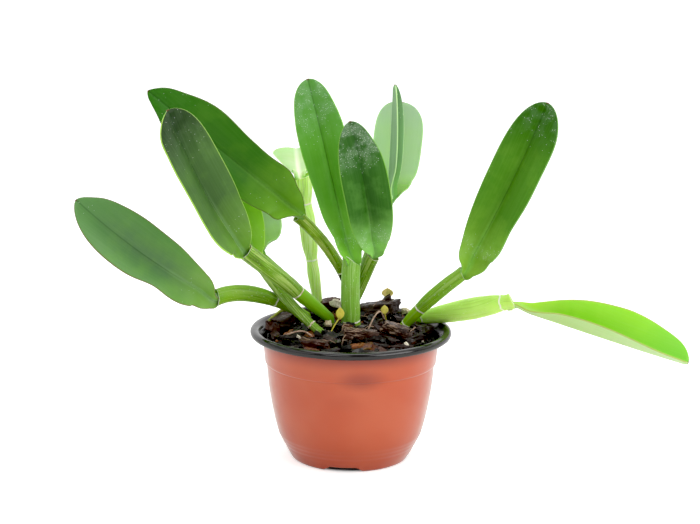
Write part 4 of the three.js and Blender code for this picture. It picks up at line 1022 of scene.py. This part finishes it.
def barkMaterial():
    # Damp fir bark: near-black to brown, fibrous along each chip, with orange flakes and a wet gleam on
    # ridges.
    material, tree = newMaterial("dampFirBark")
    object3 = add(tree, "ShaderNodeTexCoord").outputs["Object"]
    grainAt = add(tree, "ShaderNodeAttribute", attribute_name="grainPlace").outputs["Vector"]
    tone = add(tree, "ShaderNodeAttribute", attribute_name="tone").outputs["Fac"]
    stripe = add(tree, "ShaderNodeAttribute", attribute_name="stripe").outputs["Fac"]
    stretched = add(tree, "ShaderNodeVectorMath", {0: grainAt, 1: (0.22, 1.5, 1.5)}, **times)
    fibre = add(tree, "ShaderNodeTexNoise", {"Vector": stretched, "Scale": 1.0, "Detail": 5.0})
    grit = add(tree, "ShaderNodeTexNoise", {"Vector": object3, "Scale": 1 / (1.6 * mm), "Detail": 6.0})
    clump = add(tree, "ShaderNodeTexNoise", {"Vector": object3, "Scale": 1 / (7 * mm), "Detail": 3.0})
    gritty = add(tree, "ShaderNodeMapRange", {0: grit, 3: -0.22, 4: 0.22})
    mixed = add(tree, "ShaderNodeMath", {0: tone, 1: gritty}, **plus)
    ramp = add(tree, "ShaderNodeValToRGB", {"Fac": mixed})
    stops = [(0.0, "#060303"), (0.3, "#150A08"), (0.5, "#2E1812"), (0.75, "#5A3426"), (1.0, "#A8642C")]
    while len(ramp.color_ramp.elements) < len(stops):
        ramp.color_ramp.elements.new(0.5)
    for element, (position, hexColour) in zip(ramp.color_ramp.elements, stops):
        element.position = position
        element.color = linear(hexColour)
    crack = add(tree, "ShaderNodeMapRange", {0: fibre, 1: 0.35, 2: 0.58, 3: 0.5, 4: 0.0}, **smooth)
    streak = add(tree, "ShaderNodeMapRange", {0: fibre, 1: 0.52, 2: 0.6, 4: 0.9}, **smooth)
    streak = add(tree, "ShaderNodeMath", {0: streak, 1: stripe}, **times)
    colour = ramp
    for part, layer in ((crack, "#080403"), (streak, "#C2A48A")):
        colour = add(tree, "ShaderNodeMix", {0: part, 6: colour, 7: linear(layer)}, **colours)
    height = add(tree, "ShaderNodeMath", {0: grit, 1: 0.7, 2: fibre}, operation="MULTIPLY_ADD")
    bump = add(tree, "ShaderNodeBump", {"Height": height, "Strength": 0.7, "Distance": 0.5 * mm})
    wet = add(tree, "ShaderNodeMapRange", {0: clump, 1: 0.42, 2: 0.6, 3: 0.6, 4: 0.14}, **smooth)
    shader = add(tree, "ShaderNodeBsdfPrincipled", {
        "Base Color": colour, "Roughness": wet, "IOR": 1.45, "Normal": bump})
    add(tree, "ShaderNodeOutputMaterial", {"Surface": shader})
    return material


def realised(source, name):  # the result of a piece's modifiers as a plain mesh of its own
    graph = bpy.context.evaluated_depsgraph_get()
    mesh = bpy.data.meshes.new_from_object(source.evaluated_get(graph), depsgraph=graph)
    piece = bpy.data.objects.new(name, mesh)
    scene.collection.objects.link(piece)
    source.modifiers.clear()
    return piece


def scatterTree(name, shape):
    # one small shape on the upward faces of the bark, unevenly bent, and made real
    tree = bpy.data.node_groups.new(name, "GeometryNodeTree")
    sockets = {}
    tree.interface.new_socket("Geometry", in_out="INPUT", socket_type="NodeSocketGeometry")
    for label, kind in (("Spacing", "NodeSocketFloat"), ("Density", "NodeSocketFloat"),
            ("Seed", "NodeSocketInt"), ("Smallest", "NodeSocketVector"), ("Largest", "NodeSocketVector"),
            ("Tilt", "NodeSocketFloat"), ("Roughness", "NodeSocketFloat"), ("Lowest", "NodeSocketFloat"),
            ("Reach", "NodeSocketFloat"), ("Lift", "NodeSocketFloat"), ("Material", "NodeSocketMaterial")):
        sockets[label] = tree.interface.new_socket(label, in_out="INPUT", socket_type=kind).identifier
    tree.interface.new_socket("Geometry", in_out="OUTPUT", socket_type="NodeSocketGeometry")
    given = add(tree, "NodeGroupInput").outputs
    position = add(tree, "GeometryNodeInputPosition")
    height = add(tree, "ShaderNodeSeparateXYZ", {0: position}).outputs["Z"]
    facing = add(tree, "ShaderNodeSeparateXYZ", {0: add(tree, "GeometryNodeInputNormal")}).outputs["Z"]
    flat = add(tree, "ShaderNodeVectorMath", {0: position, 1: (1, 1, 0)}, **times)
    radius = add(tree, "ShaderNodeVectorMath", {0: flat}, operation="LENGTH").outputs["Value"]
    upward = add(tree, "ShaderNodeMath", {0: facing, 1: 0.3}, operation="GREATER_THAN")
    high = add(tree, "ShaderNodeMath", {0: height, 1: given["Lowest"]}, operation="GREATER_THAN")
    within = add(tree, "ShaderNodeMath", {0: radius, 1: given["Reach"]}, operation="LESS_THAN")
    upward = add(tree, "ShaderNodeMath", {0: upward, 1: high}, **times)
    upward = add(tree, "ShaderNodeMath", {0: upward, 1: within}, **times)
    scatter = add(tree, "GeometryNodeDistributePointsOnFaces", {
        "Mesh": given["Geometry"], "Distance Min": given["Spacing"], "Density Max": given["Density"],
        "Seed": given["Seed"]}, distribute_method="POISSON")
    tree.links.new(upward.outputs[0], scatter.inputs["Selection"])
    back = add(tree, "ShaderNodeMath", {0: given["Tilt"], 1: -1.0}, **times)
    low = add(tree, "ShaderNodeCombineXYZ", {0: back, 1: back, 2: 0.0})
    high = add(tree, "ShaderNodeCombineXYZ", {0: given["Tilt"], 1: given["Tilt"], 2: 6.2832})
    turn = add(tree, "FunctionNodeRandomValue", {0: low, 1: high, "Seed": 3}, data_type="FLOAT_VECTOR")
    size = add(tree, "FunctionNodeRandomValue", {0: given["Smallest"], 1: given["Largest"], "Seed": 5},
               data_type="FLOAT_VECTOR")
    if shape == "chip":
        part = add(tree, "GeometryNodeMeshCube", {
            "Size": (1, 1, 1), "Vertices X": 6, "Vertices Y": 4, "Vertices Z": 3})
    elif shape == "crumb":
        part = add(tree, "GeometryNodeMeshIcoSphere", {"Radius": 0.5, "Subdivisions": 2})
    else:
        part = add(tree, "GeometryNodeCurveQuadraticBezier", {
            "Resolution": 9, "Start": (-0.5, 0, -0.15), "Middle": (0, 0.25, 0.5), "End": (0.5, 0, -0.2)})
    lift = add(tree, "ShaderNodeCombineXYZ", {2: given["Lift"]})
    lifted = add(tree, "GeometryNodeSetPosition", {"Geometry": scatter, "Offset": lift})
    placed = add(tree, "GeometryNodeInstanceOnPoints", {
        "Points": lifted, "Instance": part.outputs[0], "Rotation": turn, "Scale": size})
    chance = add(tree, "FunctionNodeRandomValue", {2: 0.05, 3: 0.98, "Seed": 11})
    tone = add(tree, "ShaderNodeMath", {0: chance, 1: 2.2}, operation="POWER")
    toned = add(tree, "GeometryNodeStoreNamedAttribute", {"Geometry": placed, "Name": "tone", "Value": tone},
                data_type="FLOAT", domain="INSTANCE")
    real = add(tree, "GeometryNodeRealizeInstances", {0: toned})
    rough = add(tree, "ShaderNodeTexNoise", {"Scale": 1 / (4 * mm), "Detail": 1.0})
    push = add(tree, "ShaderNodeVectorMath", {0: rough.outputs["Color"], 1: (0.5, 0.5, 0.5)},
        operation="SUBTRACT")
    push = add(tree, "ShaderNodeVectorMath", {0: push, "Scale": given["Roughness"]}, operation="SCALE")
    bent = add(tree, "GeometryNodeSetPosition", {"Geometry": real, "Offset": push})
    if shape == "fibre":
        circle = add(tree, "GeometryNodeCurvePrimitiveCircle", {"Resolution": 5, "Radius": 0.22 * mm})
        bent = add(tree, "GeometryNodeCurveToMesh", {"Curve": bent, "Profile Curve": circle,
            "Fill Caps": True})
    shaded = add(tree, "GeometryNodeSetShadeSmooth", {"Geometry": bent, "Shade Smooth": shape != "chip"})
    final = add(tree, "GeometryNodeSetMaterial", {"Geometry": shaded, "Material": given["Material"]})
    add(tree, "NodeGroupOutput", {0: final})
    return tree, sockets


# what is strewn on the bark: shape, least spacing and number per square metre, sizes, tilt and unevenness
# in metres
strewn = {
    "bark_small_chips": {"shape": "chip", "Spacing": 6.5 * mm, "Density": 16000.0, "Seed": 4,
                         "Smallest": (6 * mm, 4 * mm, 1.8 * mm), "Largest": (17 * mm, 9 * mm, 4.5 * mm),
                         "Tilt": 0.5,
                         "Roughness": 3.0 * mm, "Lift": 0.8 * mm, "Reach": 45 * mm, "material": "bark"},
    "bark_crumbs": {"shape": "crumb", "Spacing": 1.7 * mm, "Density": 130000.0, "Seed": 8,
                    "Smallest": (0.7 * mm, 0.7 * mm, 0.6 * mm), "Largest": (2.8 * mm, 2.2 * mm, 1.8 * mm),
                    "Tilt": 3.0,
                    "Roughness": 1.2 * mm, "Lift": 0.4 * mm, "Reach": 53 * mm, "material": "bark"},
    "pale_grains": {"shape": "crumb", "Spacing": 8 * mm, "Density": 7000.0, "Seed": 15,
                    "Smallest": (0.8 * mm, 0.7 * mm, 0.6 * mm), "Largest": (2.6 * mm, 2.0 * mm, 1.6 * mm),
                    "Tilt": 3.0,
                    "Roughness": 1.2 * mm, "Lift": 1.0 * mm, "Reach": 52 * mm, "material": "pale"},
    "root_fibres": {"shape": "fibre", "Spacing": 5 * mm, "Density": 11000.0, "Seed": 21,
                    "Smallest": (5 * mm, 4 * mm, 2 * mm), "Largest": (15 * mm, 12 * mm, 7 * mm), "Tilt": 0.5,
                    "Roughness": 3.5 * mm, "Lift": 0.6 * mm, "Reach": 45 * mm, "material": "fibre"},
}


def paleMaterial(name, hexColours, size):
    # Dry plant stuff and mineral grains: matt, pale, a little dirty.
    material, tree = newMaterial(name)
    object3 = add(tree, "ShaderNodeTexCoord").outputs["Object"]
    patches = add(tree, "ShaderNodeTexNoise", {"Vector": object3, "Scale": 1 / (size * mm), "Detail": 4.0})
    dirty = add(tree, "ShaderNodeMapRange", {0: patches, 1: 0.45, 2: 0.7, 4: 0.7}, **smooth)
    tone = add(tree, "ShaderNodeAttribute", attribute_name="tone").outputs["Fac"]
    colour = linear(hexColours[0])
    for part, layer in ((tone, hexColours[1]), (dirty, hexColours[2])):
        colour = add(tree, "ShaderNodeMix", {0: part, 6: colour, 7: linear(layer)}, **colours)
    bump = add(tree, "ShaderNodeBump", {"Height": patches, "Strength": 0.5, "Distance": 0.3 * mm})
    shader = add(tree, "ShaderNodeBsdfPrincipled", {"Base Color": colour, "Roughness": 0.55, "Normal": bump})
    add(tree, "ShaderNodeOutputMaterial", {"Surface": shader})
    return material


def makeBark():
    material = barkMaterial()
    filling = makeFilling(material)
    chips = makeChips(material)
    finishes = {"bark": material, "pale": paleMaterial("mineralGrains", ("#E9E2CF", "#CDBE9A", "#8A7554"),
        1.5), "fibre": paleMaterial("dryRootFibre", ("#B99A80", "#6E4A38", "#3A241A"), 3)}
    carriers = {"root_fibres": chips, "pale_grains": filling}
    for name, values in strewn.items():
        carrier = carriers.get(name, filling)
        tree, sockets = scatterTree(name, values["shape"])
        modifier = carrier.modifiers.new(name, "NODES")
        modifier.node_group = tree
        for label in ("Spacing", "Density", "Seed", "Smallest", "Largest", "Tilt", "Roughness", "Lift",
                "Reach"):
            modifier[sockets[label]] = values[label]
        modifier[sockets["Lowest"]] = (bark["level"] - 4) * mm
        modifier[sockets["Material"]] = finishes[values["material"]]
        piece = realised(carrier, name)
        place(piece, [])
        print(name + ":", len(piece.data.polygons), "faces")
    place(makeLumps(finishes["pale"]), [])
    place(filling, ["bark_mix"])
    place(chips, ["bark_mix"])



roots = {
    "root_green": {"points": [(-55, 14, 84), (-51, 18, 87), (-46, 27, 89), (-42, 36, 86)], "radius": 1.0,
        "slot": "green_root"},
    "root_dry_left": {"points": [(-45, -14, 80), (-40, -13, 83.5), (-31, -11, 85), (-24, -10, 81)],
        "radius": 0.6,
                      "slot": "dry_root"},
    "root_dry_right": {"points": [(11, -3, 84), (15, 4, 91), (19, 11, 93), (22, 15, 87)], "radius": 0.5,
        "slot": "dry_root"},
}
seedlings = {
    "seedling_front": {"foot": (-15, -13, 80), "leaf": (-7, -8, 94), "size": (7.5, 5.6), "tone": 0.05},
    "seedling_back": {"foot": (22, 47, 88), "leaf": (24.5, 50, 94.5), "size": (6.5, 8), "tone": 0.9},
    "seedling_right": {"foot": (24, 22, 79), "leaf": (22, 17, 91), "size": (6, 5), "tone": 0.2},
}


tube = {"sides": 12, "steps": 10, "uneven": 0.2}


def tubeRings(points, radius):  # a root or a stalk of uneven thickness
    line = np.array(smoothLine(points, tube["steps"]))
    rings = []
    for i, p in enumerate(line):
        way = unit(line[min(i + 1, len(line) - 1)] - line[max(i - 1, 0)])
        across = unit(np.cross(way, (0.1, 0.2, 1.0)))
        other = np.cross(way, across)
        swell = radius * (1 + tube["uneven"] * softNoise(p, 3))
        rings.append([p + swell * (across * math.cos(a) + other * math.sin(a))
                      for a in np.linspace(0, 2 * math.pi, tube["sides"], endpoint=False)])
    return rings


def makeSmallPlants():
    finishes = {"green_root": paleMaterial("greenRootSkin", ("#9AA03A", "#B5B450", "#6E7A24"), 4),
                "dry_root": paleMaterial("dryRootSkin", ("#C9AE98", "#A98670", "#6A4A3A"), 3)}
    for name, values in roots.items():
        points, faces = skin(tubeRings(values["points"], values["radius"]))
        piece = meshPiece(name + "_skin", points, faces, [finishes[values["slot"]]],
            {"tone": [0.4] * len(points)})
        place(piece, [name])
    leafFinish = paleMaterial("yellowSeedlingLeaf", ("#CDC440", "#F0D48A", "#A09A34"), 3)
    for name, values in seedlings.items():
        foot, leaf = np.array(values["foot"], float), np.array(values["leaf"], float)
        middle = (foot + leaf) / 2 + (0, 0, 1)
        length, width = values["size"]
        points, faces = skin(tubeRings([foot, middle, leaf], 0.45))
        rings = []
        for s in 0.5 - 0.5 * np.cos(np.linspace(0.06, math.pi - 0.06, 22)):
            half = max(width / 2 * math.sin(math.pi * s) ** 0.8, 0.25)
            centre = leaf + (0, 0.25 * length * (s - 0.5), length * (s - 0.2))
            loop = []
            for a in np.linspace(0, 2 * math.pi, 20, endpoint=False):
                cup = 0.1 * half * math.cos(a) ** 2
                loop.append(centre + (half * math.cos(a), -cup + 0.45 * math.sin(a) * min(1, half), 0))
            rings.append(loop)
        more, moreFaces = skin(rings)
        faces = faces + [tuple(i + len(points) for i in face) for face in moreFaces]
        points = np.vstack([points, more])
        piece = meshPiece(name + "_plant", points, faces, [leafFinish],
            {"tone": [values["tone"]] * len(points)})
        place(piece, [name])
    print("roots and seedlings:", len(roots) + len(seedlings))


makeCamera()
makeStudio()
makePot()
makeShoots()
makeBark()
makeSmallPlants()
